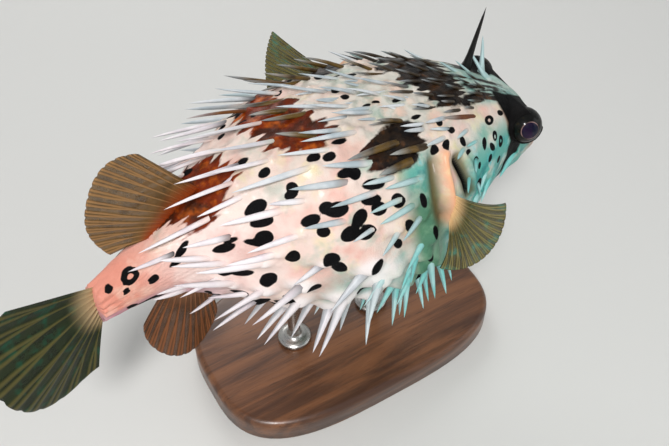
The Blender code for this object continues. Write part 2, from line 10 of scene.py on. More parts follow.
import bmesh
import bpy
import numpy as np
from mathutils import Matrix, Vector

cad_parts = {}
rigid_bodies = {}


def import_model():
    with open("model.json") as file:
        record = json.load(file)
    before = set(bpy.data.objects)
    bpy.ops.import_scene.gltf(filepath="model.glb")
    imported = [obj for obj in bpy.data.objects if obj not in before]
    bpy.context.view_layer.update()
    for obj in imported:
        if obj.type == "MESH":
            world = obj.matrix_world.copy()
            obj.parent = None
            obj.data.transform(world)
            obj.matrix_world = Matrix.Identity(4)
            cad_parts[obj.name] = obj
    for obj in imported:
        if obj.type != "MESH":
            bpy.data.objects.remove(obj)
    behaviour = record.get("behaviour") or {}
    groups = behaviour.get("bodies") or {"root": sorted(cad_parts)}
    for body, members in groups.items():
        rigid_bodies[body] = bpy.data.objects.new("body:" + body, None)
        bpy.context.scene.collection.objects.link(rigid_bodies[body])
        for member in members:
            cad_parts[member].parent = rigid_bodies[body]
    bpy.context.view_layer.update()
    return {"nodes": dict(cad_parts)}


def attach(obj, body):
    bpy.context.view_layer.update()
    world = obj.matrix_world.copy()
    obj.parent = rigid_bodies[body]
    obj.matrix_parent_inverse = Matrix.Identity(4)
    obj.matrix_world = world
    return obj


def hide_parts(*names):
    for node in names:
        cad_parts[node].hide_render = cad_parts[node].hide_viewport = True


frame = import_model()
print("solids:", ", ".join(sorted(frame["nodes"])))

# %% [markdown]
# ## The body's form
# A body like this is drawn as cross-sections along a line. Each section is a superellipse, so it
# takes four numbers: half width, top, bottom and the level where it is widest. The line itself is
# bent in the level plane, because the fish turns its head to its left and swings its tail to its
# right. Lengths are in metres and shares are of the body's length.

# %% Sizes shared with the solids
LENGTH = 0.170
AXIS_HEIGHT = 0.086
NOSE_SHARE = 0.06
STATION = [0.00, 0.05, 0.12, 0.20, 0.30, 0.42, 0.55, 0.68, 0.79, 0.89, 1.00]
HALF_WIDTH = [0.056, 0.078, 0.112, 0.158, 0.197, 0.223, 0.215, 0.161, 0.091, 0.049, 0.026]
TOP = [0.030, 0.079, 0.123, 0.159, 0.187, 0.198, 0.193, 0.162, 0.115, 0.071, 0.045]
BOTTOM = [-0.068, -0.105, -0.144, -0.179, -0.208, -0.226, -0.216, -0.181, -0.119, -0.062, -0.044]
WIDEST = [-0.021, -0.002, 0.040, 0.042, 0.027, 0.019, 0.014, 0.016, 0.013, 0.004, -0.004]
UPPER_SQUARENESS = 2.2
FACE_SQUARENESS = 1.85
HEAD_TURN = np.radians(-11)
TAIL_TURN = np.radians(18.5)
TAIL_TURN_START = 0.530
TAIL_TURN_END = 1.1
MIDDLE = 0.45
EYE_RADIUS = 0.0062
EYE_STATION = 0.0915
EYE_SIDE = 0.098
EYE_LEVEL = 0.073
EYE_LOOK = (0.18, 0.94, 0.28)
LID_RADIUS = 0.0070
LID_DEPTH = 0.0013
ORBIT_ANGLE = np.radians(24)
ORBIT_RISE = 0.008
ORBIT_BREADTH = 0.42
ORBIT_LENGTH = 0.05
UP = np.array([0.0, 0.0, 1.0])
print("the body is", round(1000 * LENGTH), "mm long and drawn by", len(STATION), "sections")


# %% Smooth lines
def curve(values, s):
    """Smooth line through the values at the stations: cubic pieces that don't overshoot."""
    x, y = np.array(STATION), np.array(values)
    step, rise = np.diff(x), np.diff(y) / np.diff(x)
    slope = np.zeros_like(y)
    before, after = rise[:-1], rise[1:]
    same_way = before * after > 0
    slope[1:-1][same_way] = (2 * before * after)[same_way] / (before + after)[same_way]
    slope[0], slope[-1] = rise[0], rise[-1]
    s = np.clip(s, x[0], x[-1])
    i = np.clip(np.searchsorted(x, s) - 1, 0, len(step) - 1)
    t = (s - x[i]) / step[i]
    start = y[i] * (1 + 2 * t) * (1 - t) ** 2 + slope[i] * step[i] * t * (1 - t) ** 2
    return start + y[i + 1] * t * t * (3 - 2 * t) + slope[i + 1] * step[i] * t * t * (t - 1)


def ease(x):
    """0 to 1 along an S: 3 x squared less 2 x cubed."""
    x = np.clip(x, 0, 1)
    return x * x * (3 - 2 * x)


print("half width at mid-body:", round(1000 * LENGTH * float(curve(HALF_WIDTH, 0.5)), 1), "mm")


# %% The bent axis
def part_way(values, share):
    """The first of two values at share 0, the second at share 1, and a straight line between."""
    return values[0] + (values[1] - values[0]) * share


def turn(s):
    """Angle of the body's axis from the X axis, seen from above."""
    tail = TAIL_TURN * ease((s - TAIL_TURN_START) / (TAIL_TURN_END - TAIL_TURN_START))
    return tail + HEAD_TURN * (1 - ease(s / MIDDLE))


def axis(s):
    """Point of the level axis: the direction given by turn(s), summed from the snout."""
    samples = np.linspace(0, 1.3, 651)
    angle = turn(samples)
    step = LENGTH * (samples[1] - samples[0])
    x = -step * np.concatenate([[0], np.cumsum((np.cos(angle[1:]) + np.cos(angle[:-1])) / 2)])
    y = -step * np.concatenate([[0], np.cumsum((np.sin(angle[1:]) + np.sin(angle[:-1])) / 2)])
    x -= np.interp(MIDDLE, samples, x)
    y -= np.interp(MIDDLE, samples, y)
    s = np.asarray(s, float)
    return np.stack([np.interp(s, samples, x), np.interp(s, samples, y), 0 * s + AXIS_HEIGHT], -1)


def backward(s):
    """Level direction from the head to the tail."""
    angle = turn(np.asarray(s, float))
    return np.stack([-np.cos(angle), -np.sin(angle), 0 * angle], -1)


def leftward(s):
    """Level direction to the fish's left."""
    angle = turn(np.asarray(s, float))
    return np.stack([-np.sin(angle), np.cos(angle), 0 * angle], -1)


def beside(s, left, up):
    """The point this far, in shares of the length, to the left of the axis at s and above it."""
    left, up = np.asarray(left, float), np.asarray(up, float)
    return axis(s) + LENGTH * (leftward(s) * left[..., None] + UP * up[..., None])


print("the tail is turned by", round(float(np.degrees(turn(1.0))), 1), "degrees")


# %% The skin as a function of station and angle
def body(s, a):
    """Skin at a share s of the length and an angle a: 0 is the left side, 90 degrees the top.

    Each section is (y / width)^n + (z / height)^n = 1 about its widest level. The snout is
    rounded off as a circle is, and the skin swells round the eyes by a bell curve.
    """
    s, a = np.broadcast_arrays(np.asarray(s, float), np.asarray(a, float))
    along = np.clip(s / NOSE_SHARE, 0, 1)
    tip = np.sqrt(np.clip(1 - (1 - along) ** 2, 0, 1))
    widest = curve(WIDEST, s)
    width = curve(HALF_WIDTH, s) * tip
    below = np.sin(a) < 0
    height = np.where(below, widest - curve(BOTTOM, s), curve(TOP, s) - widest) * tip
    lower = part_way((FACE_SQUARENESS, UPPER_SQUARENESS), ease((s - 0.12) / 0.15))
    n = np.where(below, lower, UPPER_SQUARENESS)
    side = np.abs(np.cos(a) / np.maximum(width, 1e-9)) ** n
    rise = np.abs(np.sin(a) / np.maximum(height, 1e-9)) ** n
    radius = (side + rise) ** (-1 / n)
    off_eye = (np.arctan2(np.sin(a), np.abs(np.cos(a))) - ORBIT_ANGLE) / ORBIT_BREADTH
    radius += ORBIT_RISE * tip * np.exp(-((s - EYE_STATION) / ORBIT_LENGTH) ** 2 - off_eye ** 2)
    return beside(s, radius * np.cos(a), widest + radius * np.sin(a))


def unit(v):
    """The vectors at length 1."""
    return v / np.maximum(np.linalg.norm(v, axis=-1, keepdims=True), 1e-12)


def skin_frame(s, a):
    """Outward normal and the tangent towards the tail, from differences of body()."""
    small = 1e-4
    along = body(s + small, a) - body(s - small, a)
    around = body(s, a + small) - body(s, a - small)
    return unit(np.cross(along, around)), unit(along)


print("snout at", np.round(body(0.0, 0.0) * 1000, 1), "mm")

# %% [markdown]
# ## Building blocks for meshes
# Most pieces here are closed tubes: a grid of rings that ends in a point at both ends. A spine, an
# eye, a rod and the whole skin differ only in the points of that grid, so one function makes them
# all. The fins are thin sheets: two copies of one middle surface that meet at the rim.


# %% Faces, attributes and UV maps
def tube_faces(count, rings, columns):
    """Quads of each tube's wall and the triangles that close its ends, as point numbers.

    Points run tube by tube, ring by ring, and then each tube's two end points.
    """
    tube, i, j = np.meshgrid(np.arange(count), np.arange(rings - 1), np.arange(columns), indexing="ij")
    first, n = tube * rings * columns, (j + 1) % columns
    quads = np.stack([first + i * columns + j, first + (i + 1) * columns + j,
                      first + (i + 1) * columns + n, first + i * columns + n], -1).reshape(-1, 4)
    tube, j = np.meshgrid(np.arange(count), np.arange(columns), indexing="ij")
    first, n = tube * rings * columns, (j + 1) % columns
    ends = count * rings * columns + 2 * tube
    start = np.stack([ends, first + j, first + n], -1).reshape(-1, 3)
    last = first + (rings - 1) * columns
    finish = np.stack([ends + 1, last + n, last + j], -1).reshape(-1, 3)
    return quads, start, finish


def fill_mesh(mesh, points, quads, triangles, values):
    """Puts points, faces and one number a point for each named value into the mesh."""
    mesh.from_pydata(points.tolist(), [], quads.tolist() + triangles.tolist())
    mesh.polygons.foreach_set("use_smooth", np.ones(len(mesh.polygons), bool))
    for name, numbers in values.items():
        made = mesh.attributes.new(name, "FLOAT", "POINT")
        made.data.foreach_set("value", np.asarray(numbers, np.float32).ravel())


def point_uv(mesh, name, uv):
    """A UV map that reads one place a point."""
    corners = np.empty(len(mesh.loops), np.int32)
    mesh.loops.foreach_get("vertex_index", corners)
    mesh.uv_layers.new(name=name).data.foreach_set("uv", uv[corners].astype(np.float32).ravel())


print("a tube of 9 rings and 8 columns has", sum(map(len, tube_faces(1, 9, 8))), "faces")


# %% Closed tubes and thin sheets
def into_scene(name, mesh, material, slot, *nodes):
    """The finished piece: an object at the origin that rides on the fish and replaces solids."""
    made = bpy.data.objects.new(name, mesh)
    bpy.context.scene.collection.objects.link(made)
    mesh.materials.append(material)
    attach(made, "root")
    if nodes:
        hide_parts(*nodes)
    print(f"{name}: {len(mesh.polygons)} faces")
    return made


def tubes(name, rings, starts, ends, material, slot, nodes=(), values=None, uv=None):
    """Closed tubes from points of shape (tube, ring, column, 3) and their two end points.

    Each value has the shape (tube, ring, column), and each end takes the mean of its ring.
    """
    count, rows, columns = rings.shape[:3]
    poles = np.stack([starts, ends], 1).reshape(-1, 3)
    quads, start, finish = tube_faces(count, rows, columns)

    def with_ends(numbers):
        numbers = np.broadcast_to(numbers, (count, rows, columns))
        ring_means = np.stack([numbers[:, 0].mean(-1), numbers[:, -1].mean(-1)], -1)
        return np.concatenate([numbers.ravel(), ring_means.ravel()])

    mesh = bpy.data.meshes.new(name)
    fill_mesh(mesh, np.concatenate([rings.reshape(-1, 3), poles]), quads,
              np.concatenate([start, finish]),
              {key: with_ends(numbers) for key, numbers in (values or {}).items()})
    if uv is not None:
        point_uv(mesh, "OFBake", np.stack([with_ends(uv[..., 0]), with_ends(uv[..., 1])], -1))
    return into_scene(name, mesh, material, slot, *nodes)


def sheet(name, middle, half, material, slot, nodes=(), values=None):
    """A thin closed piece: the middle surface moved by half its thickness to both sides.

    The thickness is nothing at the rim, where the two sides are merged.
    """
    rows, columns = half.shape
    normal = unit(np.cross(np.gradient(middle, axis=0), np.gradient(middle, axis=1)))
    step = normal * half[..., None]
    points = np.concatenate([(middle + step).reshape(-1, 3), (middle - step).reshape(-1, 3)])
    i, j = np.meshgrid(np.arange(rows - 1), np.arange(columns - 1), indexing="ij")
    a = i * columns + j
    front = np.stack([a, a + columns, a + columns + 1, a + 1], -1).reshape(-1, 4)
    quads = np.concatenate([front, front[:, ::-1] + rows * columns])
    mesh = bpy.data.meshes.new(name)
    both = {key: np.tile(np.ravel(numbers), 2) for key, numbers in (values or {}).items()}
    fill_mesh(mesh, points, quads, np.empty((0, 3), int), both)
    work = bmesh.new()
    work.from_mesh(mesh)
    bmesh.ops.remove_doubles(work, verts=work.verts, dist=1e-7)
    work.to_mesh(mesh)
    work.free()
    return into_scene(name, mesh, material, slot, *nodes)


# %% [markdown]
# ## Materials
# Colours are written as a screen shows them, 0 to 255, and turned into the linear values that the
# shader works in. Three effects come back in several materials, so each is a node group: patches
# that mix two colours by noise, an edge made crisp from a distance in millimetres, and a fine
# relief for bump.


# %% Small helpers for nodes
def screen(red, green, blue):
    """A colour given as a screen shows it, in the linear values of the shader."""
    c = np.array([red, green, blue]) / 255
    return (*np.where(c <= 0.04045, c / 12.92, ((c + 0.055) / 1.055) ** 2.4), 1.0)


def put(tree, kind, place=None, **settings):
    """A node with its properties set. A key of place is a socket, its value a number or a socket."""
    node = tree.nodes.new(kind)
    for key, value in settings.items():
        setattr(node, key, value)
    for key, value in (place or {}).items():
        if isinstance(value, bpy.types.NodeSocket):
            tree.links.new(value, node.inputs[key])
        else:
            node.inputs[key].default_value = value
    return node


def maths(tree, operation, a, b=0.0, clamp=False):
    """One sum on two numbers or sockets."""
    return put(tree, "ShaderNodeMath", {0: a, 1: b}, operation=operation,
               use_clamp=clamp).outputs[0]


def mixed(tree, share, a, b):
    """Colour a turning into colour b as the share goes from 0 to 1."""
    return put(tree, "ShaderNodeMix", {0: share, 6: a, 7: b}, data_type="RGBA").outputs[2]


def between(tree, value, low, high, low_out=0.0, high_out=1.0):
    """The value brought from one range to another along an S, and held inside it."""
    return put(tree, "ShaderNodeMapRange", {0: value, 1: low, 2: high, 3: low_out, 4: high_out},
               interpolation_type="SMOOTHSTEP").outputs[0]


def value_of(tree, name):
    """A number that the mesh carries at each point."""
    return put(tree, "ShaderNodeAttribute", attribute_name=name).outputs["Fac"]


def noise(tree, scale, detail=2.0, roughness=0.5, vector=None):
    """Noise in the object's own coordinates, which are metres: scale is in bumps a metre."""
    if vector is None:
        vector = put(tree, "ShaderNodeTexCoord").outputs["Object"]
    return put(tree, "ShaderNodeTexNoise", {"Vector": vector, "Scale": scale, "Detail": detail,
                                            "Roughness": roughness}).outputs["Fac"]


print("mid grey of the screen is", round(float(screen(128, 128, 128)[0]), 3), "in the shader")


# %% Making and using node groups
def group(name, inputs, output, output_type):
    """An empty node group with named inputs and one output, and its two end nodes."""
    made = bpy.data.node_groups.new(name, "ShaderNodeTree")
    for label, (kind, start) in inputs.items():
        socket = made.interface.new_socket(label, in_out="INPUT", socket_type=kind)
        socket.default_value = start
    made.interface.new_socket(output, in_out="OUTPUT", socket_type=output_type)
    return made, made.nodes.new("NodeGroupInput").outputs, made.nodes.new("NodeGroupOutput").inputs


def use(tree, node_group, **values):
    """Places a group in a material, with its own values, and gives its output."""
    node = tree.nodes.new("ShaderNodeGroup")
    node.node_tree = node_group
    for key, value in values.items():
        socket = node.inputs[key.replace("_", " ")]
        if isinstance(value, bpy.types.NodeSocket):
            tree.links.new(value, socket)
        else:
            socket.default_value = value
    return node.outputs[0]


# %% The three effects that materials share
COLOUR, NUMBER = "NodeSocketColor", "NodeSocketFloat"

PATCHES, given, out = group("patches", {"Colour": (COLOUR, (1, 1, 1, 1)),
                                        "Patch": (COLOUR, (0, 0, 0, 1)),
                                        "Scale": (NUMBER, 100.0), "Cover": (NUMBER, 0.5),
                                        "Strength": (NUMBER, 1.0)}, "Colour", COLOUR)
field = noise(PATCHES, given["Scale"], 3.0, 0.55)
edge = maths(PATCHES, "SUBTRACT", 1.0, given["Cover"])
share = maths(PATCHES, "MULTIPLY", maths(PATCHES, "SUBTRACT", field, edge), 6.0)
share = maths(PATCHES, "ADD", share, 0.5, clamp=True)
PATCHES.links.new(mixed(PATCHES, maths(PATCHES, "MULTIPLY", share, given["Strength"]),
                        given["Colour"], given["Patch"]), out[0])

CRISP, given, out = group("crisp edge", {"Distance": (NUMBER, 0.0), "Softness": (NUMBER, 0.3),
                                         "Ragged": (NUMBER, 0.3), "Scale": (NUMBER, 600.0)},
                          "Mask", NUMBER)
wobble = maths(CRISP, "SUBTRACT", noise(CRISP, given["Scale"], 3.0), 0.5)
place = maths(CRISP, "ADD", given["Distance"],
              maths(CRISP, "MULTIPLY", wobble, maths(CRISP, "MULTIPLY", given["Ragged"], 4.0)))
place = maths(CRISP, "DIVIDE", place, given["Softness"])
CRISP.links.new(maths(CRISP, "ADD", place, 0.5, clamp=True), out[0])

RELIEF, given, out = group("fine relief", {"Coarse": (NUMBER, 500.0), "Fine": (NUMBER, 2500.0),
                                           "Balance": (NUMBER, 0.5)}, "Height", NUMBER)
fine = maths(RELIEF, "MULTIPLY", noise(RELIEF, given["Fine"], 2.0), given["Balance"])
RELIEF.links.new(maths(RELIEF, "ADD", noise(RELIEF, given["Coarse"], 3.0), fine), out[0])
print("node groups:", ", ".join(g.name for g in bpy.data.node_groups))


# %% Materials and their bump
def finish_of(name, **constants):
    """A new Principled material with its constant values on the shader's own sockets."""
    made = bpy.data.materials.new(name)
    made.use_nodes = True
    shader = made.node_tree.nodes["Principled BSDF"]
    for key, value in constants.items():
        shader.inputs[key.replace("_", " ")].default_value = value
    print("material:", name)
    return made, made.node_tree, shader.inputs


def patched(tree, colour, patch, scale, cover, strength):
    """A colour with patches of a second one. The first may be a socket, so patches can be layered."""
    if not isinstance(colour, bpy.types.NodeSocket):
        colour = screen(*colour)
    return use(tree, PATCHES, Colour=colour, Patch=screen(*patch), Scale=scale, Cover=cover,
               Strength=strength)


def bumped(tree, shader, height, distance, strength=1.0):
    """Sends a height in shares through a Bump node, distance deep, into the shader's normal."""
    bump = put(tree, "ShaderNodeBump", {"Strength": strength, "Distance": distance, "Height": height})
    tree.links.new(bump.outputs[0], shader["Normal"])

# %% [markdown]
# ## Markings
# A porcupinefish wears a few large brown blotches, a black bar through each eye and round black
# spots between the spines. Painting them on a picture would blur them and tie them to one mesh.
# Instead each marking is a small shape on the body, given by station, angle and size, and what
# the mesh carries is the distance to its edge in millimetres. The shader cuts that distance
# sharply, so the edge is crisp however coarse the mesh is, and the spines can ask for the same
# marking at their roots.

# %% Where the markings are
# Each blotch: station, degrees round the body, half length, half breadth in mm, and its slant.
BLOTCHES = [
    (0.268, 62, 9.5, 13.5, 0), (0.272, 90, 10.0, 11.5, -8), (0.268, 108, 8.0, 8.0, -18),
    (0.262, 40, 7.5, 7.5, 0), (0.300, 74, 9.0, 5.0, 0),
    (0.600, 56, 8.0, 12.0, -14), (0.590, 90, 8.6, 13.0, -10), (0.560, 108, 7.0, 5.5, 10),
    (0.440, 133, 10.0, 6.8, 8), (0.415, 129, 7.0, 5.0, 0), (0.440, 47, 10.8, 8.6, -8),
    (0.775, 92, 12.0, 9.5, 0), (0.780, 110, 9.0, 5.0, 20), (0.780, 70, 9.0, 5.0, -20),
    (0.198, 121, 9.5, 2.2, 8), (0.165, 107, 9.0, 1.4, 2), (0.145, 112, 6.5, 1.3, 4),
    (0.150, 62, 6.5, 4.0, 0), (0.138, 124, 4.6, 1.2, 4), (0.130, 92, 5.0, 1.6, 0),
]
# Each spot of the right side: station, degrees, half length and half breadth in mm, slant.
SPOTS = [
    (0.545, 135, 2.6, 1.3, -4), (0.530, 137, 1.9, 1.6, 20), (0.64, 132, 1.4, 2.0, 10),
    (0.646, 135, 2.0, 1.2, 10), (0.71, 134, 3.2, 2.0, 12),
    (0.71, 144, 3.1, 1.8, -6), (0.715, 156, 2.3, 2.2, -28), (0.73, 159, 2.8, 0.9, -30),
    (0.78, 157, 2.9, 1.4, -4), (0.585, 150, 3.7, 2.1, -6), (0.600, 148, 2.0, 1.8, 0),
    (0.633, 152, 2.7, 1.6, 10), (0.617, 160, 1.8, 1.6, 0),
    (0.550, 158, 3.0, 2.0, 40), (0.571, 164, 3.0, 2.4, 20), (0.541, 166, 2.6, 2.4, 0),
    (0.520, 151, 3.0, 1.6, -20), (0.510, 157, 2.4, 1.9, -35), (0.675, 174, 2.0, 2.0, 0),
    (0.609, 177, 2.4, 2.0, -30), (0.596, 184, 2.6, 1.7, -40), (0.528, 186, 2.5, 1.7, 25),
    (0.716, 197, 1.9, 2.9, -25), (0.758, 193, 2.7, 1.3, 8), (0.785, 190, 2.6, 1.1, -18),
    (0.637, 199, 2.0, 1.4, 0), (0.540, 207, 2.5, 1.4, -10), (0.674, 216, 2.1, 0.9, -25),
    (0.846, 137, 2.6, 1.0, 28), (0.861, 150, 2.0, 0.7, 0), (0.765, 150, 1.8, 0.8, 0),
    (0.668, 115, 1.8, 1.2, 10), (0.689, 100, 2.3, 1.0, 15), (0.583, 121, 1.9, 1.3, 0),
    (0.557, 124, 1.9, 1.2, 0), (0.506, 145, 3.4, 1.4, -15), (0.472, 157, 1.7, 2.4, 20),
    (0.422, 162, 1.1, 2.2, 10), (0.456, 172, 1.4, 2.4, 20), (0.404, 181, 1.0, 1.7, 0),
    (0.480, 180, 1.1, 1.9, 15), (0.412, 195, 0.9, 1.5, 0), (0.407, 71, 1.3, 0.9, 0),
    (0.460, 90, 1.2, 1.2, 0), (0.439, 103, 1.2, 0.9, 0), (0.418, 103, 1.1, 0.7, -20),
    (0.338, 116, 1.6, 1.0, -12), (0.433, 88, 1.2, 0.7, 0), (0.469, 104, 1.3, 0.7, 0),
    (0.465, 82, 1.3, 0.8, 0), (0.526, 118, 2.1, 0.8, -8), (0.378, 107, 1.6, 0.7, 0),
    (0.365, 122, 2.0, 0.5, 0), (0.323, 130, 1.1, 1.1, 0), (0.364, 142, 1.4, 1.4, 0),
    (0.333, 143, 2.0, 1.1, 30), (0.287, 146, 0.9, 1.5, 0), (0.306, 137, 1.6, 0.9, -10),
    (0.282, 153, 1.4, 0.6, -5), (0.228, 157, 0.9, 2.0, -8), (0.203, 163, 0.8, 1.9, 35),
    (0.264, 161, 1.0, 1.0, 0), (0.213, 170, 0.8, 1.2, -20), (0.175, 180, 0.7, 1.4, 15),
    (0.150, 141, 1.2, 1.0, -20), (0.248, 181, 1.0, 2.4, 30), (0.252, 167, 0.5, 0.9, 0),
    (0.905, 160, 1.4, 1.2, 0), (0.979, 118, 0.9, 0.9, 0), (0.911, 62, 1.1, 1.1, 0),
    (0.882, 72, 0.8, 0.8, 0), (0.955, 150, 0.8, 0.7, 0),
]
# Rings with a pale middle, of the cheek and of the stalk of the tail: the same five numbers.
RINGS = [(0.170, 164, 1.0, 1.8, 0), (0.189, 157, 1.0, 1.6, 0), (0.192, 144, 1.9, 1.5, 0),
         (0.939, 124, 2.3, 2.1, 0)]


# Every marking is this much wider on all sides, in mm, as ink runs a little into the skin
MARK_MARGIN = 0.32
print(len(BLOTCHES), "ovals in the blotches,", len(SPOTS), "charted spots and", len(RINGS), "rings")


# %% Chance, bell curves and places on the skin
def chance(i, j):
    """A number from 0 to 1 that depends on the row and the column alone."""
    return np.modf(np.abs(np.sin(i * 12.9898 + j * 78.233) * 43758.5453))[0]


def bell(distance, width):
    """1 at no distance, falling off as a bell curve of this width."""
    return np.exp(-(distance / width) ** 2)


def off(s, a, station, angle):
    """How far (s, a) is from a place on the skin, in mm: along the body and round it."""
    radius = 1000 * np.linalg.norm(body(station, angle) - axis(station), axis=-1)
    round_way = (a - angle + np.pi) % (2 * np.pi) - np.pi
    return (s - station) * LENGTH * 1000, round_way * radius


print("a degree of the flank is", round(float(off(0.5, np.radians(1), 0.5, 0.0)[1]), 2), "mm wide")


# %% Ovals with soft outlines
def oval_distance(s, a, mark, ring=False):
    """Distance in mm inside an oval's edge, less than 0 outside it: (1 - r) times its half width.

    r is the place in the oval as a share of its radius. A ring keeps only what is near r = 0.72.
    """
    station, degrees, half_length, half_breadth, slant = mark
    half_length, half_breadth = half_length + MARK_MARGIN, half_breadth + MARK_MARGIN
    x, y = off(s, a, station, np.radians(degrees))
    tilt = np.radians(slant)
    across = (y * np.cos(tilt) - x * np.sin(tilt)) / half_breadth
    r = np.hypot((x * np.cos(tilt) + y * np.sin(tilt)) / half_length, across)
    if ring:
        return (0.36 - np.abs(r - 0.72)) * min(half_length, half_breadth)
    return (1 - r) * min(half_length, half_breadth)


def warp(s, a, size, wave):
    """A smooth shift of about size mm, so that no marking keeps a perfect edge: crossed sines."""
    x, y = s * LENGTH * 1000, a * 30
    return size * (np.sin(x / wave + 1.3 * np.sin(y / wave)) + np.sin(y / wave * 1.1 + 2.1)) / 2


middle = oval_distance(SPOTS[0][0], np.radians(SPOTS[0][1]), SPOTS[0])
print("the first spot is", round(float(middle), 2), "mm deep at its middle")


# %% Spots scattered where there is no chart
SCATTER_STEP, SCATTER_DEGREES = 0.034, 12


def scattered_spots():
    """Spots for the left side and the belly, one to a cell of a grid and pushed off its middle."""
    made = []
    for i in range(24):
        for j in range(360 // SCATTER_DEGREES):
            s = 0.15 + (i + chance(i, j)) * SCATTER_STEP
            degrees = (j + 0.5 * (i % 2) + 0.7 * chance(j, i)) * SCATTER_DEGREES - 90
            level = np.degrees(np.arcsin(np.sin(np.radians(degrees))))
            charted = 70 < degrees < 218
            if s > 0.95 or charted or level < -62 or chance(i + 9, j) < 0.35:
                continue
            big = 1.0 if level > 40 or s < 0.33 or s > 0.8 else 1.9
            big *= 0.7 + 0.6 * chance(i, j + 5)
            long = big * (1.1 + 0.8 * chance(i + 3, j))
            made.append((s, degrees, long, big * 0.8, 60 * (chance(i, j + 8) - 0.5)))
    return made


SCATTER = scattered_spots()
print(len(SCATTER), "scattered spots")


# %% Distances to the blotches, the bars and the spots
def blotch_distance(s, a):
    """Distance in mm inside the nearest brown blotch, whose edge is drawn out along the body."""
    comb = np.sin(a * 41 + 2.0 * np.sin(s * 31)) + 0.7 * np.sin(a * 67 + 1.7 * np.sin(s * 47) + 1.0)
    s = s + (warp(s, a, 1.4, 5.0) + 1.5 * comb) / (LENGTH * 1000)
    inside = np.full(np.broadcast(s, a).shape, -99.0)
    for mark in BLOTCHES:
        inside = np.maximum(inside, oval_distance(s, a, mark))
    return inside + warp(s, a, 0.8, 2.3)


def bar_distance(points):
    """Distance in mm inside the black bar through each eye, for points in space.

    The bar is an upright slab at the eye that leans back below it: half its thickness less the
    distance from its middle plane, and it ends at a height above and below the eye.
    """
    inside = np.full(points.shape[:-1], -99.0)
    for side in (1, -1):
        q = 1000 * (points - beside(EYE_STATION, side * EYE_SIDE, EYE_LEVEL))
        fore, up = -q @ backward(EYE_STATION), q[..., 2]
        half = np.interp(up, [-26, -16, -8, 0, 6, 10, 14], [0.8, 2.4, 4.4, 7.2, 7.2, 6.4, 5.0])
        middle = np.interp(up, [-26, -10, 0, 7, 14], [-8.0, -3.5, 0.0, -1.0, -3.6])
        outer = side * (q @ leftward(EYE_STATION))
        bar = np.minimum(half - np.abs(fore - middle), outer + np.interp(up, [-5, 5], [18, 11]))
        bar = np.minimum(bar, np.minimum(up + 25, 13.5 - up))
        inside = np.maximum(inside, np.maximum(bar, 8.4 - np.linalg.norm(q, axis=-1)))
    return inside + 0.4 * np.sin(points[..., 2] * 900 + points[..., 0] * 500)


def spot_distance(s, a):
    """Distance in mm inside the nearest black spot."""
    inside = np.full(np.broadcast(s, a).shape, -99.0)
    for mark in SPOTS + SCATTER:
        inside = np.maximum(inside, oval_distance(s, a, mark))
    for mark in RINGS:
        inside = np.maximum(inside, oval_distance(s, a, mark, ring=True))
    return inside + warp(s, a, 0.16, 1.1)


print("the nape's blotch is", round(float(blotch_distance(0.27, np.radians(62))), 1), "mm deep")


# %% Slow changes of colour over the body
def level_of(a):
    """Degrees above the level of the axis, the same on both sides."""
    return np.degrees(np.arctan2(np.sin(a), np.abs(np.cos(a))))


def zones(s, a):
    """Shares from 0 to 1 of the ground colours: each is an S along the body or round it.

    The turquoise share is painted shade on the skin of the face, the throat and the belly: the
    tint that shadow takes in blue-green light. The spines' turquoise share is the same painted shade
    for the spines, which are white under the belly. The fin shadow share is painted shade too, the
    dark green behind and below the pectoral fin.
    """
    level = level_of(a)
    face = ease((0.36 - s) / 0.10) * ease((50 - level) / 40)
    face = np.maximum(face, 0.55 * ease((0.25 - s) / 0.06) * ease((level - 45) / 10))
    throat = ease((0.56 - s) / 0.20) * ease((22 - level) / 30)
    belly = ease((2 - level) / 24) * ease((0.68 - s) / 0.16)
    behind_fin = ease((s - 0.365) / 0.02) * ease((0.480 - s) / 0.05) * ease((46 - level) / 14)
    chin = ease((-52 - level) / 24) * ease((0.5 - s) / 0.2)
    down = 0.5 * ease((50 - level) / 30) + 0.5 * ease((15 - level) / 25)
    behind_eye = bell(off(s, a, 0.128, 0.0)[0], 2.0) * ease((level - 16) / 8) * ease((56 - level) / 8)
    return {
        "rust": np.maximum(ease((s - 0.46) / 0.14) * ease((level - 20) / 30), behind_eye),
        "turquoise_shade": np.clip(np.maximum.reduce([face, 0.9 * throat, 0.8 * belly, 0.95 * behind_fin])
                        - 0.55 * chin, 0, 1),
        "spine_turquoise_shade": np.clip(0.7 * face + ease((0.54 - s) / 0.12) * down, 0, 1),
        "fin_shadow": ease((0.485 - s) / 0.05) * ease((s - 0.33) / 0.06) * ease((34 - level) / 22)
                * ease((level + 70) / 30),
        "pink": ease((s - 0.58) / 0.20) * ease((74 - level) / 30),
        "peach": ease((s - 0.83) / 0.12),
        "grey": ease((level - 34) / 30) * (0.25 + 0.75 * ease((0.56 - s) / 0.16)),
        # Partly the skin's own pinkish violet and partly painted shade of the lower side
        "lilac_and_lower_shade": ease((-14 - level) / 30) * ease((s - 0.72) / 0.14),
    }


def marks(s, a, points):
    """All that the skin and the roots of the spines say about their colour."""
    return {"spot": spot_distance(s, a), "blotch": blotch_distance(s, a),
            "bar": bar_distance(points), **zones(s, a)}


print("ground colours:", ", ".join(zones(0.5, 0.0)))


# %% [markdown]
# ## Spines
# The real spines are long bony needles, each in a sleeve of skin. When the fish is only half
# inflated they lie back along the flanks and rise under the belly. They stand in rows that are
# offset like bricks, so a spine grows from every second face of a grid of rings and columns, as in
# the solids. On the right flank, which the turned tail folds in, they lie almost flat and the rows
# are loose, so a chart of single spines stands in for the grid there. A second chart fills the gaps
# between the rows of the head, the throat and the back. Position, direction and length are
# arrays with one entry a spine.

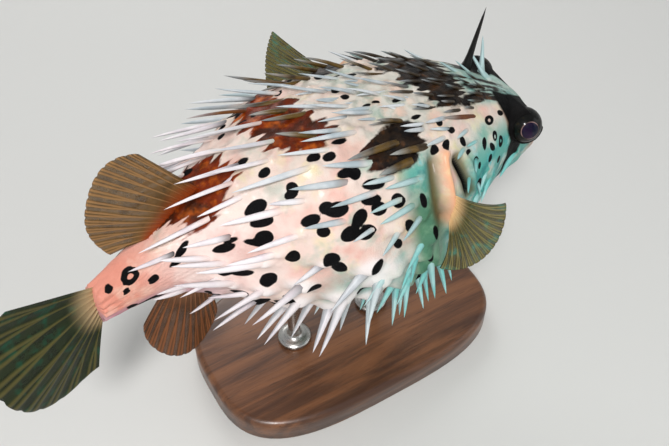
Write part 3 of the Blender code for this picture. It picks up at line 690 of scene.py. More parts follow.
# %% The rows of spines, their length and rise
COLUMNS = 36
FIRST_SPINE, LAST_SPINE = 0.14, 0.84
HEAD_RINGS = [0.008, 0.028, 0.060, 0.095, 0.130, 0.165, 0.200, 0.235, 0.270, 0.303, 0.336]
RINGS_OF_SPINES = np.concatenate([HEAD_RINGS, np.linspace(HEAD_RINGS[-1], LAST_SPINE, 15)[1:]])
SPINE_STATION = [0.10, 0.24, 0.35, 0.50, 0.62, 0.72, 0.80, 0.86]
BACK_SPINE = [0.008, 0.012, 0.016, 0.021, 0.026, 0.026, 0.019, 0.012]
FLANK_SPINE = [0.004, 0.006, 0.013, 0.020, 0.024, 0.023, 0.017, 0.010]
BELLY_SPINE = [0.004, 0.009, 0.017, 0.020, 0.020, 0.017, 0.011, 0.006]
ROD_STATIONS = {"stand_rod_front": 0.375, "stand_rod_rear": 0.585}
# Raised spines of the brow, by ring and face: direction back, left and up, then the length
BROW_SPINES = {
    (4, 33): (-0.24, 0.05, 0.97, 0.0230),
    (3, 33): (-0.14, 0.44, 0.89, 0.0130),
    (3, 35): (0.34, 0.72, 0.60, 0.0125),
}


def spine_length(s, a):
    """Long on the back and the flanks, shorter on the face, the throat and near the tail."""
    upper = np.interp(s, SPINE_STATION, BACK_SPINE)
    flank = np.interp(s, SPINE_STATION, FLANK_SPINE)
    lower = np.interp(s, SPINE_STATION, BELLY_SPINE)
    high = np.clip(np.sin(a), 0, 1) ** 1.5
    low = np.clip(-np.sin(a), 0, 1) ** 1.5
    return flank + (upper - flank) * high + (lower - flank) * low


def lowness(s, a):
    """0 on the back and near the tail, 1 under the belly."""
    return ease((0.35 - np.sin(a)) / 1.1) * ease((0.92 - s) / 0.45)


def hang(s, a):
    """1 where the skin sags between the spines, on the lower side before the tail, 0 elsewhere."""
    return ease((0.45 - np.sin(a)) / 0.75) * ease((0.86 - s) / 0.3)


def spine_rise(s, a):
    """Angle between spine and skin: 24 degrees on the back, 61 under the belly, 11 on the head."""
    on_head = ease((0.38 - s) / 0.14) * ease((np.sin(a) - 0.35) / 0.40)
    return np.radians(24 + 37 * lowness(s, a) - 13 * on_head)


print("spines rise by", round(float(np.degrees(spine_rise(0.5, np.pi / 2)))), "degrees on the back and",
      round(float(np.degrees(spine_rise(0.5, -np.pi / 2)))), "under the belly")


# %% Which faces carry a spine
def has_spine(i, j, s, a):
    """Staggered faces carry a spine, but none near the eyes, the fins and the rods.

    On the left flank and under the belly they are twice as far apart as on the back. The right
    flank and the blotch behind mid-back carry the charted spines of a later cell instead.
    """
    if (i, j) in BROW_SPINES:
        return True
    level = level_of(a)
    by_eye = s < 0.19 and level < 65 or s < 0.22 and level < 45
    if s < FIRST_SPINE or s > LAST_SPINE or by_eye:
        return False
    right_flank = np.cos(a) < 0 and (s > 0.43 and -16 < level < 62 or s > 0.36 and 30 < level < 52)
    back_blotch = 0.50 < s < 0.60 and level > 62
    if right_flank or back_blotch:
        return False
    sparse = s > 0.40 and level < 42
    if (i % 2 or (j + i // 2) % 2) if sparse else (i + j) % 2:
        return False
    if s > 0.785 and j % 4 not in (0, 3):
        return False
    fin_end = 0.49 if np.cos(a) > 0 else 0.41
    by_fin = 0.31 < s < fin_end and -15 < level < 36
    by_ridge = s > 0.64 and level > 85 or s > 0.74 and level > 75
    by_keel = s > 0.62 and level < -85 or s > 0.70 and level < -65
    by_rod = level < -78 and min(abs(s - rod) for rod in ROD_STATIONS.values()) < 0.022
    return not (by_fin or by_ridge or by_keel or by_rod)


def spine_rows():
    """The ring and face of each spine, and the middle of that face as station and angle."""
    found = []
    for i in range(len(RINGS_OF_SPINES) - 1):
        s = (RINGS_OF_SPINES[i] + RINGS_OF_SPINES[i + 1]) / 2
        for j in range(COLUMNS):
            a = np.pi / 2 + 2 * np.pi * j / COLUMNS
            if has_spine(i, j, s, a):
                found.append((i, j, s, a, (i, j) in BROW_SPINES))
    return [np.array(column) for column in zip(*found)]


ring_of, face_of, SPINE_S, SPINE_A, on_brow = spine_rows()
print(len(SPINE_S), "spines in rows,", on_brow.sum(), "of them on the brow")

# %% Place, direction and length of each spine of the rows
loose = np.where(on_brow, 0.0, 1.0)
SPINE_S = SPINE_S + loose * 0.010 * (chance(ring_of + 5, face_of) - 0.5)
SPINE_A = SPINE_A + loose * np.radians(3.5) * (chance(ring_of, face_of + 7) - 0.5)
SPINE_OUT, spine_along = skin_frame(SPINE_S, SPINE_A)
SPINE_ROOT = body(SPINE_S, SPINE_A)
rise = spine_rise(SPINE_S, SPINE_A) + np.radians(7) * (chance(ring_of, face_of) - 0.5)
SPINE_WAY = SPINE_OUT * np.sin(rise)[:, None] + spine_along * np.cos(rise)[:, None]
SPINE_LENGTH = spine_length(SPINE_S, SPINE_A) * (0.86 + 0.28 * chance(face_of, ring_of + 3))
print("their lengths are", round(1000 * SPINE_LENGTH.mean(), 1), "mm on average")

# %% Spines off the rows
# Each spine: station and degrees of root and tip, height of the tip over the skin in mm.
# Those of the right flank lie nearly flat, and the last four stand in the blotch behind mid-back.
FLANK_SPINES = [
    (0.535, 121, 0.637, 114, 4.6), (0.478, 117, 0.594, 114, 5.1), (0.482, 136, 0.583, 129, 4.6),
    (0.535, 140, 0.646, 133, 5.0), (0.625, 141, 0.688, 135, 2.9), (0.584, 125, 0.728, 120, 6.5),
    (0.496, 149, 0.595, 147, 4.4), (0.567, 157, 0.647, 153, 3.6), (0.648, 159, 0.742, 159, 4.3),
    (0.458, 146, 0.532, 143, 3.2), (0.409, 152, 0.500, 148, 3.9), (0.456, 157, 0.538, 155, 3.5),
    (0.436, 162, 0.525, 161, 3.8), (0.519, 165, 0.574, 166, 2.4), (0.472, 171, 0.526, 177, 3.9),
    (0.616, 179, 0.677, 190, 4.3), (0.526, 187, 0.612, 201, 9.0), (0.661, 142, 0.771, 132, 4.3),
    (0.715, 178, 0.836, 162, 4.6), (0.692, 170, 0.782, 168, 3.5), (0.708, 122, 0.797, 117, 3.4),
    (0.772, 123, 0.910, 107, 5.1), (0.758, 148, 0.840, 131, 3.2), (0.852, 136, 0.940, 113, 3.2),
    (0.802, 167, 0.887, 125, 3.5), (0.774, 179, 0.871, 140, 3.9), (0.765, 210, 0.879, 166, 4.7),
    (0.837, 211, 0.911, 180, 2.9), (0.845, 222, 0.919, 191, 2.9), (0.729, 222, 0.817, 219, 3.5),
    (0.707, 104, 0.745, 107, 1.5), (0.423, 131, 0.543, 131, 4.4), (0.371, 139, 0.466, 136, 3.4),
    (0.413, 142, 0.499, 142, 3.1), (0.543, 72, 0.633, 49, 3.0), (0.556, 82, 0.627, 72, 2.4),
    (0.529, 91, 0.621, 84, 3.0), (0.545, 110, 0.617, 99, 3.0),
]
SINGLE_SPINES = [
    (0.222, 137, 0.318, 129, 1.2), (0.240, 116, 0.300, 114, 1.0), (0.200, 110, 0.262, 108, 1.0),
    (0.165, 118, 0.225, 117, 1.0), (0.180, 126, 0.236, 124, 1.0), (0.250, 128, 0.310, 126, 1.2),
    (0.300, 120, 0.372, 118, 1.6), (0.320, 104, 0.392, 102, 2.0), (0.230, 98, 0.292, 97, 1.2),
    (0.150, 108, 0.200, 107, 0.8), (0.170, 92, 0.226, 91, 1.0), (0.285, 96, 0.352, 95, 1.6),
    (0.350, 112, 0.430, 110, 2.2), (0.386, 121, 0.470, 118, 2.4), (0.340, 128, 0.416, 125, 2.0),
    (0.300, 136, 0.362, 132, 1.5), (0.372, 98, 0.452, 97, 2.4), (0.420, 106, 0.506, 104, 3.0),
    (0.087, 196, 0.150, 212, 0.8), (0.240, 152, 0.290, 149, 0.8), (0.215, 178, 0.262, 184, 1.2),
    (0.403, 183, 0.485, 189, 7.0), (0.413, 191, 0.490, 199, 8.0), (0.417, 202, 0.485, 212, 9.0),
    (0.440, 215, 0.500, 226, 9.0), (0.364, 208, 0.420, 222, 8.0), (0.474, 195, 0.560, 201, 8.0),
    (0.235, 190, 0.285, 200, 1.4), (0.190, 190, 0.240, 200, 1.2), (0.260, 204, 0.300, 214, 1.6),
    (0.469, 56, 0.576, 53, 2.0), (0.484, 74, 0.538, 75, 1.6), (0.457, 90, 0.517, 87, 2.0),
    (0.470, 105, 0.545, 104, 2.2), (0.431, 114, 0.479, 112, 1.8), (0.397, 80, 0.444, 80, 1.6),
    (0.336, 80, 0.414, 74, 1.6), (0.353, 98, 0.424, 97, 1.6),
    (0.459, 82, 0.487, 80, 1.6), (0.470, 90, 0.517, 87, 1.8), (0.408, 85, 0.445, 81, 1.6),
    (0.442, 98, 0.476, 98, 1.6), (0.403, 96, 0.437, 91, 1.6), (0.382, 113, 0.419, 109, 1.6),
    (0.342, 93, 0.392, 90, 1.6), (0.338, 109, 0.368, 108, 1.4),
]
# Charted spines are numbered from here on, above the rings of the rows. The first one is rusty.
RUSTY_SPINE = 100
single = np.concatenate([SINGLE_SPINES, FLANK_SPINES])
single[:, [1, 3]] = np.radians(single[:, [1, 3]])
tip_out, _ = skin_frame(single[:, 2], single[:, 3])
single_tip = body(single[:, 2], single[:, 3]) + tip_out * single[:, 4:] / 1000
single_out, _ = skin_frame(single[:, 0], single[:, 1])
single_root = body(single[:, 0], single[:, 1])
ring_of = np.concatenate([ring_of, np.arange(len(single)) + RUSTY_SPINE])
face_of = np.concatenate([face_of, np.arange(len(single))])
on_brow = np.concatenate([on_brow, np.zeros(len(single), bool)])
SPINE_S, SPINE_A = np.concatenate([SPINE_S, single[:, 0]]), np.concatenate([SPINE_A, single[:, 1]])
SPINE_OUT = np.concatenate([SPINE_OUT, single_out])
SPINE_ROOT = np.concatenate([SPINE_ROOT, single_root])
SPINE_WAY = np.concatenate([SPINE_WAY, unit(single_tip - single_root)])
SPINE_LENGTH = np.concatenate([SPINE_LENGTH, np.linalg.norm(single_tip - single_root, axis=-1)])
for k in np.flatnonzero(on_brow):
    *way, SPINE_LENGTH[k] = BROW_SPINES[ring_of[k], face_of[k]]
    SPINE_WAY[k] = unit(np.array(way) @ np.array([backward(SPINE_S[k]), leftward(SPINE_S[k]), UP]))
print(len(SPINE_S), "spines,", round(1000 * SPINE_LENGTH.min(), 1), "to",
      round(1000 * SPINE_LENGTH.max(), 1), "mm")

# %% [markdown]
# ## Skin
# One closed grid makes the whole skin, from the lips to the stalk of the tail. It starts from
# `body(s, a)` and lies a little inside it, and then each fold is added as a bell curve of the
# distance to a line or a point: skin drawn up round the foot of each spine, the slit of the gill
# with its raised edge, the fleshy foot of the pectoral fin, nostrils, lips and the lids that hug
# the eyes. Rings are closer on the head, which has the finest detail.

# %% The grid of the skin
SKIN_DEPTH = 0.0004
GILL_STATION = 0.345
SKIN_COLUMNS = 248
NOSE_ROWS, FACE_ROWS, REST_ROWS = 40, 160, 196
nose = NOSE_SHARE * (1 - np.cos(np.linspace(0, np.pi / 2, NOSE_ROWS + 1)[1:]))
SKIN_S = np.concatenate([nose, np.linspace(NOSE_SHARE, GILL_STATION, FACE_ROWS + 1)[1:],
                         np.linspace(GILL_STATION, 1.0, REST_ROWS + 1)[1:]])[:, None]
SKIN_A = np.linspace(0, 2 * np.pi, SKIN_COLUMNS + 1)[None, :-1]
print("skin grid:", len(SKIN_S), "rings of", SKIN_COLUMNS)


# %% Folds as heights over the smooth body
TENT_REACH = 0.09
# Half width in mm and height in metres of the tent at a spine's foot, on the back and on the belly
TENT_WIDTH = (1.5, 3.8)
TENT_HEIGHT = (0.0013, 0.0047)
CHEEK_RADIUS = 32.0


def tents():
    """Skin drawn up at each spine's foot: a peak with hollow sides, highest under the belly.

    The peak is exp(1 - sqrt(2.2 r^2 + 1)), and r grows more slowly behind the spine than before
    it. Where two peaks meet, the higher one counts and gains 0.3 of the lower.
    """
    height = np.zeros((len(SKIN_S), SKIN_COLUMNS))
    for s, a, length in zip(SPINE_S, SPINE_A, SPINE_LENGTH):
        near = np.flatnonzero(np.abs(SKIN_S[:, 0] - s) < TENT_REACH)
        if not len(near):
            continue
        along, across = off(SKIN_S[near], SKIN_A, s, a)
        low = hang(s, a)
        size = min(1.0, 0.25 + length / 0.024) * (0.35 + 0.65 * ease((s - 0.22) / 0.14))
        wide = part_way(TENT_WIDTH, low) * size
        along = along - 0.5 * wide
        reach = np.where(along < 0, 1.1, part_way((1.9, 1.3), low)) * wide
        away = np.hypot(along / reach, across / wide)
        peak = part_way(TENT_HEIGHT, low) * size * np.exp(1 - np.sqrt(away ** 2 * 2.2 + 1))
        height[near] = np.maximum(height[near], peak) + 0.3 * np.minimum(height[near], peak)
    return height


def line_distance(line):
    """Distance in mm to a line of (station, level) points, on both sides of the fish at once.

    A radian round the cheek is taken as CHEEK_RADIUS mm everywhere.
    """
    level = np.radians(level_of(SKIN_A))
    best = np.full((len(SKIN_S), SKIN_COLUMNS), 99.0)
    for (s0, d0), (s1, d1) in zip(line[:-1], line[1:]):
        x, y = (SKIN_S - s0) * LENGTH * 1000, (level - np.radians(d0)) * CHEEK_RADIUS
        dx, dy = (s1 - s0) * LENGTH * 1000, np.radians(d1 - d0) * CHEEK_RADIUS
        t = np.clip((x * dx + y * dy) / (dx * dx + dy * dy), 0, 1)
        best = np.minimum(best, np.hypot(x - t * dx, y - t * dy))
    return best


GILL_SLIT = [(0.322, 27), (0.315, 22), (0.306, 15), (0.298, 8), (0.291, 3)]
GILL_ARCH = [(0.340, 33), (0.322, 32), (0.300, 29), (0.283, 20), (0.275, 9), (0.272, -3)]
FIN_FOOT = [(0.350, 33), (0.357, 25), (0.355, 16), (0.352, 8), (0.352, -1), (0.352, -8)]
FIN_FOLD = [(0.376, 32), (0.384, 24), (0.386, 14), (0.380, 5), (0.372, 0)]
slit, arch = line_distance(GILL_SLIT), line_distance(GILL_ARCH)
foot, fold = line_distance(FIN_FOOT), line_distance(FIN_FOLD)
LEVEL = level_of(SKIN_A)

wrinkles = 0.00010 * np.sin(SKIN_S * 210 + 2.2 * np.sin(SKIN_A * 9)) * np.sin(SKIN_A * 23 + SKIN_S * 40)
TENTS = tents()
relief = TENTS + wrinkles * ease((SKIN_S - 0.1) / 0.2)
relief += 0.0011 * bell(arch, 1.2) - 0.0030 * bell(slit, 0.95)
relief += 0.0023 * bell(foot, 1.9) - 0.0020 * bell(fold, 2.5)
relief += 0.0003 * ease((SKIN_S - 0.95) / 0.05) * np.cos(np.radians(LEVEL) * 14)
print("folds from", round(1000 * relief.min(), 2), "to", round(1000 * relief.max(), 2), "mm")


# %% Eyelids, drawn over a ball round each eye
LID_BLEND, LID_RIM, LID_GAP, LID_STEEPNESS = 0.0010, 0.0004, 0.0010, 3.5
# The lid's ball and the eyeball meet on a circle of this radius
rim_height = (LID_RADIUS ** 2 - EYE_RADIUS ** 2 - LID_DEPTH ** 2) / (2 * LID_DEPTH)
LID_OPENING = np.sqrt(EYE_RADIUS ** 2 - rim_height ** 2)


def eye_frame(side):
    """Centre of an eyeball and the direction it looks: outward, a little up and back."""
    centre = beside(EYE_STATION, side * EYE_SIDE, EYE_LEVEL)
    back, outward, up = EYE_LOOK
    look = back * backward(EYE_STATION) + outward * side * leftward(EYE_STATION) + up * UP
    return centre, unit(look)


def with_lids(points, side):
    """Draws the skin over a ball that holds the eye, and sinks it inside the eye's opening.

    Heights are along the look. Outside, the height is the greater of the skin's own and the
    ball's, h = sqrt(R^2 - r^2), which runs on as a steep cone beside the ball.
    """
    centre, look = eye_frame(side)
    ball = centre - look * LID_DEPTH
    q = points - ball
    height = q @ look
    r = np.linalg.norm(q - height[..., None] * look, axis=-1)
    edge = 0.90 * LID_RADIUS
    dome = np.sqrt(np.maximum(LID_RADIUS ** 2 - np.minimum(r, edge) ** 2, 0))
    dome = dome - LID_STEEPNESS * np.maximum(r - edge, 0)
    own = height - 0.0002
    over = (own + dome + np.sqrt((own - dome) ** 2 + LID_BLEND ** 2)) / 2
    over += LID_RIM * bell(r - LID_OPENING - 0.0007, 0.0006)
    sunk = np.sqrt(np.maximum((EYE_RADIUS - LID_GAP) ** 2 - r ** 2, 0)) + LID_DEPTH
    sunk = np.minimum(sunk, np.sqrt(EYE_RADIUS ** 2 - LID_OPENING ** 2) + LID_DEPTH - LID_GAP)
    wanted = over + (sunk - over) * ease((LID_OPENING - r) / 0.0007)
    facing = ease((height + 0.0120) / 0.0040)
    return points + look * ((wanted - height) * facing)[..., None]


print("lids open", round(2000 * LID_OPENING, 1), "mm wide")

# %% Lips, rolled round the mouth
BEAK_HALF = np.array([0.0050, 0.0062, 0.0032])
HEADING = -backward(0.0)
BEAK_CENTRE = body(0.0, 0.0) - HEADING * 0.0034 - UP * 0.0004


def mouth_place(points):
    """How far out of the mouth's oval a point is: 1 at its edge."""
    q = points - BEAK_CENTRE
    return np.hypot(q @ leftward(0.0) / BEAK_HALF[1], q[..., 2] / BEAK_HALF[2])


def with_lips(points):
    """Draws the skin into the mouth inside its oval and rolls it forward just outside."""
    e = mouth_place(points)
    near = ease((0.12 - SKIN_S) / 0.05)
    inward = 0.0060 * ease((1.10 - e) / 0.30)
    roll = 0.0015 * bell(e - 1.45, 0.32) - 0.0006 * bell(e - 2.2, 0.30)
    return points + HEADING * ((roll - inward) * near)[..., None]


print("the mouth is", round(2000 * BEAK_HALF[1], 1), "mm wide")


# %% Nostrils, and the finished points of the skin
def nostrils():
    """A low tube with a pit before and behind it, on each side of the snout."""
    height = 0.0
    for degrees in (42, 138):
        along, across = off(SKIN_S, SKIN_A, 0.056, np.radians(degrees))
        height = height + 0.0013 * np.exp(-(along ** 2 + across ** 2) / 1.5)
        for pit in (-1.1, 1.1):
            height = height - 0.0009 * np.exp(-((along - pit) ** 2 + across ** 2) / 0.20)
    return height


out, _ = skin_frame(SKIN_S, SKIN_A)
SKIN = body(SKIN_S, SKIN_A) + out * (relief + nostrils() - SKIN_DEPTH)[..., None]
SKIN = with_lips(SKIN)
for side in (1, -1):
    SKIN = with_lids(SKIN, side)
print("the skin lies from", np.round(1000 * SKIN.min((0, 1)), 1), "to",
      np.round(1000 * SKIN.max((0, 1)), 1), "mm")

# %% [markdown]
# ## Finish of the skin
# The ground colour runs from cream on the flanks to pink at the tail, broken up by soft patches.
# On the face, the throat and the belly, and behind the pectoral fin, it is painted shade instead: a
# turquoise and a dark green that stand for shadow in blue-green light. Blotches and spots go over
# it in that order. The skin is moist, so it has a thin glossy coat, except where it is black: there
# the skin is matt, or the black would look grey under a soft lamp.


# %% Colours of the ground and of the blotches
def ground_colour(tree):
    """The colour between the markings: patches of noise, mixed by the zones on the mesh."""
    colour = patched(tree, (236, 214, 202), (232, 178, 164), 90.0, 0.44, 0.8)
    colour = patched(tree, colour, (238, 220, 168), 120.0, 0.38, 0.75)
    # Painted shade: the green-grey patches here and in the grey of the back stand for scattered
    # turquoise shadow between the spines.
    colour = patched(tree, colour, (140, 178, 162), 105.0, 0.38, 0.75)
    grey = patched(tree, (210, 206, 194), (226, 190, 168), 140.0, 0.44, 0.8)
    grey = patched(tree, grey, (124, 156, 142), 170.0, 0.42, 0.8)
    colour = mixed(tree, maths(tree, "MULTIPLY", value_of(tree, "grey"), 0.9), colour, grey)
    pink = patched(tree, (246, 222, 214), (236, 190, 180), 110.0, 0.44, 0.7)
    colour = mixed(tree, value_of(tree, "pink"), colour, pink)
    peach = patched(tree, (222, 146, 126), (236, 188, 168), 130.0, 0.42, 0.8)
    colour = mixed(tree, value_of(tree, "peach"), colour, peach)
    # Partly painted shade: the rear lower flank turns a darker pinkish violet, partly its own tint and
    # partly shade painted on the lower side.
    colour = mixed(tree, maths(tree, "MULTIPLY", value_of(tree, "lilac_and_lower_shade"), 0.7), colour,
                   screen(170, 130, 150))
    # Painted shade: these turquoise layers stand for the blue-green tint of shadow on the face, throat
    # and belly, not for a colour of the skin.
    turquoise_shade = patched(tree, (84, 168, 156), (204, 206, 192), 150.0, 0.42, 0.95)
    turquoise_shade = patched(tree, turquoise_shade, (22, 128, 128), 170.0, 0.42, 0.85)
    turquoise_shade = patched(tree, turquoise_shade, (60, 190, 196), 300.0, 0.36, 0.8)
    # Painted shade: the dark green behind and below the pectoral fin is a shadow painted into the
    # colour.
    fin_shadow = patched(tree, (54, 118, 90), (112, 158, 128), 160.0, 0.42, 0.7)
    turquoise_shade = mixed(tree, value_of(tree, "fin_shadow"), turquoise_shade, fin_shadow)
    return mixed(tree, value_of(tree, "turquoise_shade"), colour, turquoise_shade)


def blotched(tree, colour):
    """Brown blotches over the ground: near black on the head, rust towards the dorsal fin."""
    inside, rust = value_of(tree, "blotch"), value_of(tree, "rust")
    dark = patched(tree, (40, 28, 18), (92, 56, 24), 190.0, 0.38, 0.75)
    dark = patched(tree, dark, (12, 9, 9), 280.0, 0.5, 0.9)
    warm = patched(tree, (116, 38, 2), (190, 92, 20), 190.0, 0.42, 0.9)
    warm = patched(tree, warm, (52, 24, 10), 150.0, 0.44, 0.9)
    mask = use(tree, CRISP, Distance=inside, Softness=1.0, Ragged=0.6, Scale=420.0)
    return mixed(tree, mask, colour, mixed(tree, rust, dark, warm))


# %% Skin material
SKIN_FINISH, tree, shader = finish_of("spotted_skin", Coat_Roughness=0.22,
                                      Specular_IOR_Level=0.12)
colour = ground_colour(tree)
# How much painted turquoise and dark green shade lies here; the pale colour of the tents gives way to
# it.
painted_shade_share = maths(tree, "MAXIMUM", value_of(tree, "spine_turquoise_shade"), value_of(tree, "fin_shadow"))
lifted = maths(tree, "MULTIPLY", value_of(tree, "raised"), maths(tree, "SUBTRACT", 1.0, painted_shade_share))
colour = mixed(tree, maths(tree, "MULTIPLY", lifted, 0.9), colour, screen(240, 232, 230))
# Partly painted shade: dark olive in the fold behind the fin's foot is shade painted in the groove;
# beside the gill slit it is the membrane's own olive.
colour = mixed(tree, value_of(tree, "olive"), colour, screen(98, 88, 54))
flesh = patched(tree, (240, 178, 138), (236, 206, 160), 260.0, 0.42, 0.8)
colour = mixed(tree, value_of(tree, "flesh"), colour, flesh)
colour = blotched(tree, colour)
bar = use(tree, CRISP, Distance=value_of(tree, "bar"), Softness=1.1, Ragged=0.25, Scale=700.0)
edge_brown = use(tree, CRISP, Distance=maths(tree, "ADD", value_of(tree, "bar"), 1.5), Softness=1.4,
                 Ragged=0.5, Scale=500.0)
above = maths(tree, "MULTIPLY", edge_brown, value_of(tree, "rust"))
colour = mixed(tree, above, colour, screen(150, 84, 28))
colour = mixed(tree, bar, colour, screen(5, 5, 5))
spots = use(tree, CRISP, Distance=value_of(tree, "spot"), Softness=0.22, Ragged=0.05, Scale=900.0)
colour = mixed(tree, spots, colour, screen(5, 4, 6))
# Painted shade: the black in the gill slit stands for the dark opening; round the eyes the black is the
# skin's own.
colour = mixed(tree, value_of(tree, "slit_shade_and_eye_black"), colour, screen(8, 6, 6))
colour = mixed(tree, value_of(tree, "lip"), colour, screen(206, 160, 142))
tree.links.new(colour, shader["Base Color"])
dark = maths(tree, "MAXIMUM", maths(tree, "MAXIMUM", bar, spots), value_of(tree, "slit_shade_and_eye_black"))
tree.links.new(between(tree, dark, 0.0, 1.0, 0.46, 0.70), shader["Roughness"])
tree.links.new(between(tree, dark, 0.0, 1.0, 0.16, 0.0), shader["Coat Weight"])
bumped(tree, shader, use(tree, RELIEF, Coarse=650.0, Fine=2600.0, Balance=0.5), 0.00035, 0.6)

# %% Skin piece
eye_ink = np.zeros(slit.shape)
for side in (1, -1):
    centre, look = eye_frame(side)
    r = np.linalg.norm(SKIN - centre, axis=-1)
    eye_ink = np.maximum(eye_ink, ease((0.0080 - r) / 0.0008))
skin_values = {
    **marks(SKIN_S, SKIN_A, SKIN),
    "raised": ease((TENTS - 0.0008) / 0.0018),
    "flesh": bell(foot, 2.2) * ease((LEVEL + 9) / 8),
    # Painted shade in the fold behind the fin's foot, and the membrane's own olive by the gill slit.
    "olive": np.clip(0.95 * bell(fold, 2.4) + 0.8 * ease((3.6 - slit) / 2) * ease(slit / 1.0), 0, 1),
    # Black of the gill slit, painted shade of the opening, and the skin's own black round each eye.
    "slit_shade_and_eye_black": np.maximum(ease((1.35 - slit) / 0.5), eye_ink),
    "lip": bell(mouth_place(SKIN) - 1.4, 0.5) * ease((0.10 - SKIN_S) / 0.05),
}
skin_uv = np.stack(np.broadcast_arrays((SKIN_A / (2 * np.pi)) * 0.98 + 0.01,
                                       0.01 + 0.98 * np.linspace(0, 1, len(SKIN_S))[:, None]), -1)
tail_end = SKIN[-1].mean(0) + backward(1.0) * 0.0006
mouth_end = BEAK_CENTRE - HEADING * 0.002
tubes("fish_skin", SKIN[None], mouth_end[None], tail_end[None], SKIN_FINISH, "skin",
      ("head", "trunk", "tail"), {key: numbers[None] for key, numbers in skin_values.items()},
      skin_uv[None])

# %% [markdown]
# ## The coat of spines
# Each spine is a tube of nine rings of eight points along a gently bent path, which is enough for
# a needle this thin and keeps hundreds of them light. Its half width starts with the flare of the
# skin sleeve, stays nearly even, and closes in a point. It is a little flattened. All spines are
# one mesh, made from arrays with one axis for the spine, one for the ring and one for the column.

# %% How thick, flared, bent and sunk each spine is
FLANK_AND_BACK_HALF_WIDTH, BROW_HALF_WIDTH = (0.00106, 0.00078), 0.00085
BACK_AND_BELLY_FLARE, BROW_FLARE = (0.0003, 0.0026), 0.0016
BACK_AND_BELLY_SINK, FLANK_SINK = (0.0011, 0.0015), 0.0007
spine_level = level_of(SPINE_A)
high = ease((spine_level - 25) / 45)
low = lowness(SPINE_S, SPINE_A)
hanging = hang(SPINE_S, SPINE_A)
half_width = part_way(FLANK_AND_BACK_HALF_WIDTH, high)
half_width *= np.clip(0.45 + SPINE_LENGTH / 0.036, 0.5, 1.0) * (0.88 + 0.24 * chance(face_of, ring_of))
half_width[on_brow] = BROW_HALF_WIDTH
flare = part_way(BACK_AND_BELLY_FLARE, hanging) * np.clip(SPINE_LENGTH / 0.018, 0.3, 1.1)
flare[on_brow] = BROW_FLARE
spread = part_way((0.10, 0.28), hanging)
spread[on_brow] = 0.16
bend = (0.05 * (chance(ring_of + 1, face_of + 4) - 0.35)) * SPINE_LENGTH
sink = part_way(BACK_AND_BELLY_SINK, hanging)
on_flank = ring_of >= RUSTY_SPINE + len(SINGLE_SPINES)
sink[on_flank] = FLANK_SINK
half_width[on_flank] *= 1.12
# Thick olive spines stand in the blotch behind mid-back and in the one over the pectoral fin
on_saddle = on_flank & (SPINE_S < 0.6) & (spine_level > 65)
olive_spine = on_saddle | on_flank & (SPINE_S < 0.43) & (spine_level > 36)
half_width[olive_spine] *= 1.35
print("half widths:", round(1000 * half_width.min(), 2), "to", round(1000 * half_width.max(), 2), "mm")
print(olive_spine.sum(), "thick olive spines")

# %% The rings of the spines
# At a share t of its length a spine's middle is root + (tip - root) t + bend 4 t (1 - t). Its half
# width there is (1 - t^3.2)^0.85, plus the flare, which dies away as exp(-t / spread).
ALONG = np.array([-0.10, 0.0, 0.10, 0.24, 0.45, 0.66, 0.83, 0.94, 0.99])
ROUND = np.linspace(0, 2 * np.pi, 9)[:-1]
side_way = unit(np.cross(SPINE_OUT, SPINE_WAY))
lift_way = np.cross(side_way, SPINE_WAY)
t = ALONG[None, :, None, None]
root = (SPINE_ROOT - SPINE_OUT * sink[:, None])[:, None, None]
tip = (SPINE_ROOT + SPINE_WAY * SPINE_LENGTH[:, None])[:, None, None]
path = root + (tip - root) * t + (SPINE_OUT * bend[:, None])[:, None, None] * 4 * t * (1 - t)
taper = np.maximum(1 - np.clip(t, 0, 1) ** 3.2, 0) ** 0.85 * (0.55 + 0.45 * ease((t + 0.1) / 0.3))
reach = half_width[:, None, None, None] * taper
reach = reach + flare[:, None, None, None] * np.exp(-np.maximum(t, 0) / spread[:, None, None, None])
reach = reach * np.clip((1.02 - t) / 0.1, 0, 1) * np.clip((t + 0.13) / 0.1, 0, 1)
section = side_way[:, None, None] * np.cos(ROUND)[None, None, :, None]
section = section + lift_way[:, None, None] * np.sin(ROUND)[None, None, :, None] * 0.80
rings = path + section * reach
print("spines:", rings.shape[0], "of", rings.shape[1], "rings")

# %% [markdown]
# ## Finish of the spines
# A spine is bone under thin skin: bluish white on the flanks and pinkish near the tail. At the
# throat and the face it wears painted turquoise shade, and one side of each spine is darkened with
# painted shade. At its foot it still has the colour of the skin it grows from, and most spines
# that stand in a dark blotch are olive brown almost to the tip.


# %% Spine material
SPINE_FINISH, tree, shader = finish_of("spine_bone", Roughness=0.42, Coat_Weight=0.1,
                                       Coat_Roughness=0.2, Specular_IOR_Level=0.35)
along = value_of(tree, "along")
bone = patched(tree, (214, 218, 220), (164, 178, 184), 90.0, 0.5, 0.85)
white = patched(tree, (242, 234, 236), (210, 196, 204), 90.0, 0.42, 0.7)
bone = mixed(tree, value_of(tree, "white"), bone, white)
# Painted shade: the turquoise of the spines at the face, the throat and the lower side stands for
# shadow in blue-green light.
spine_turquoise_shade = patched(tree, (96, 190, 184), (176, 216, 212), 90.0, 0.46, 0.8)
bone = mixed(tree, maths(tree, "MULTIPLY", value_of(tree, "spine_turquoise_shade"), 0.9), bone, spine_turquoise_shade)
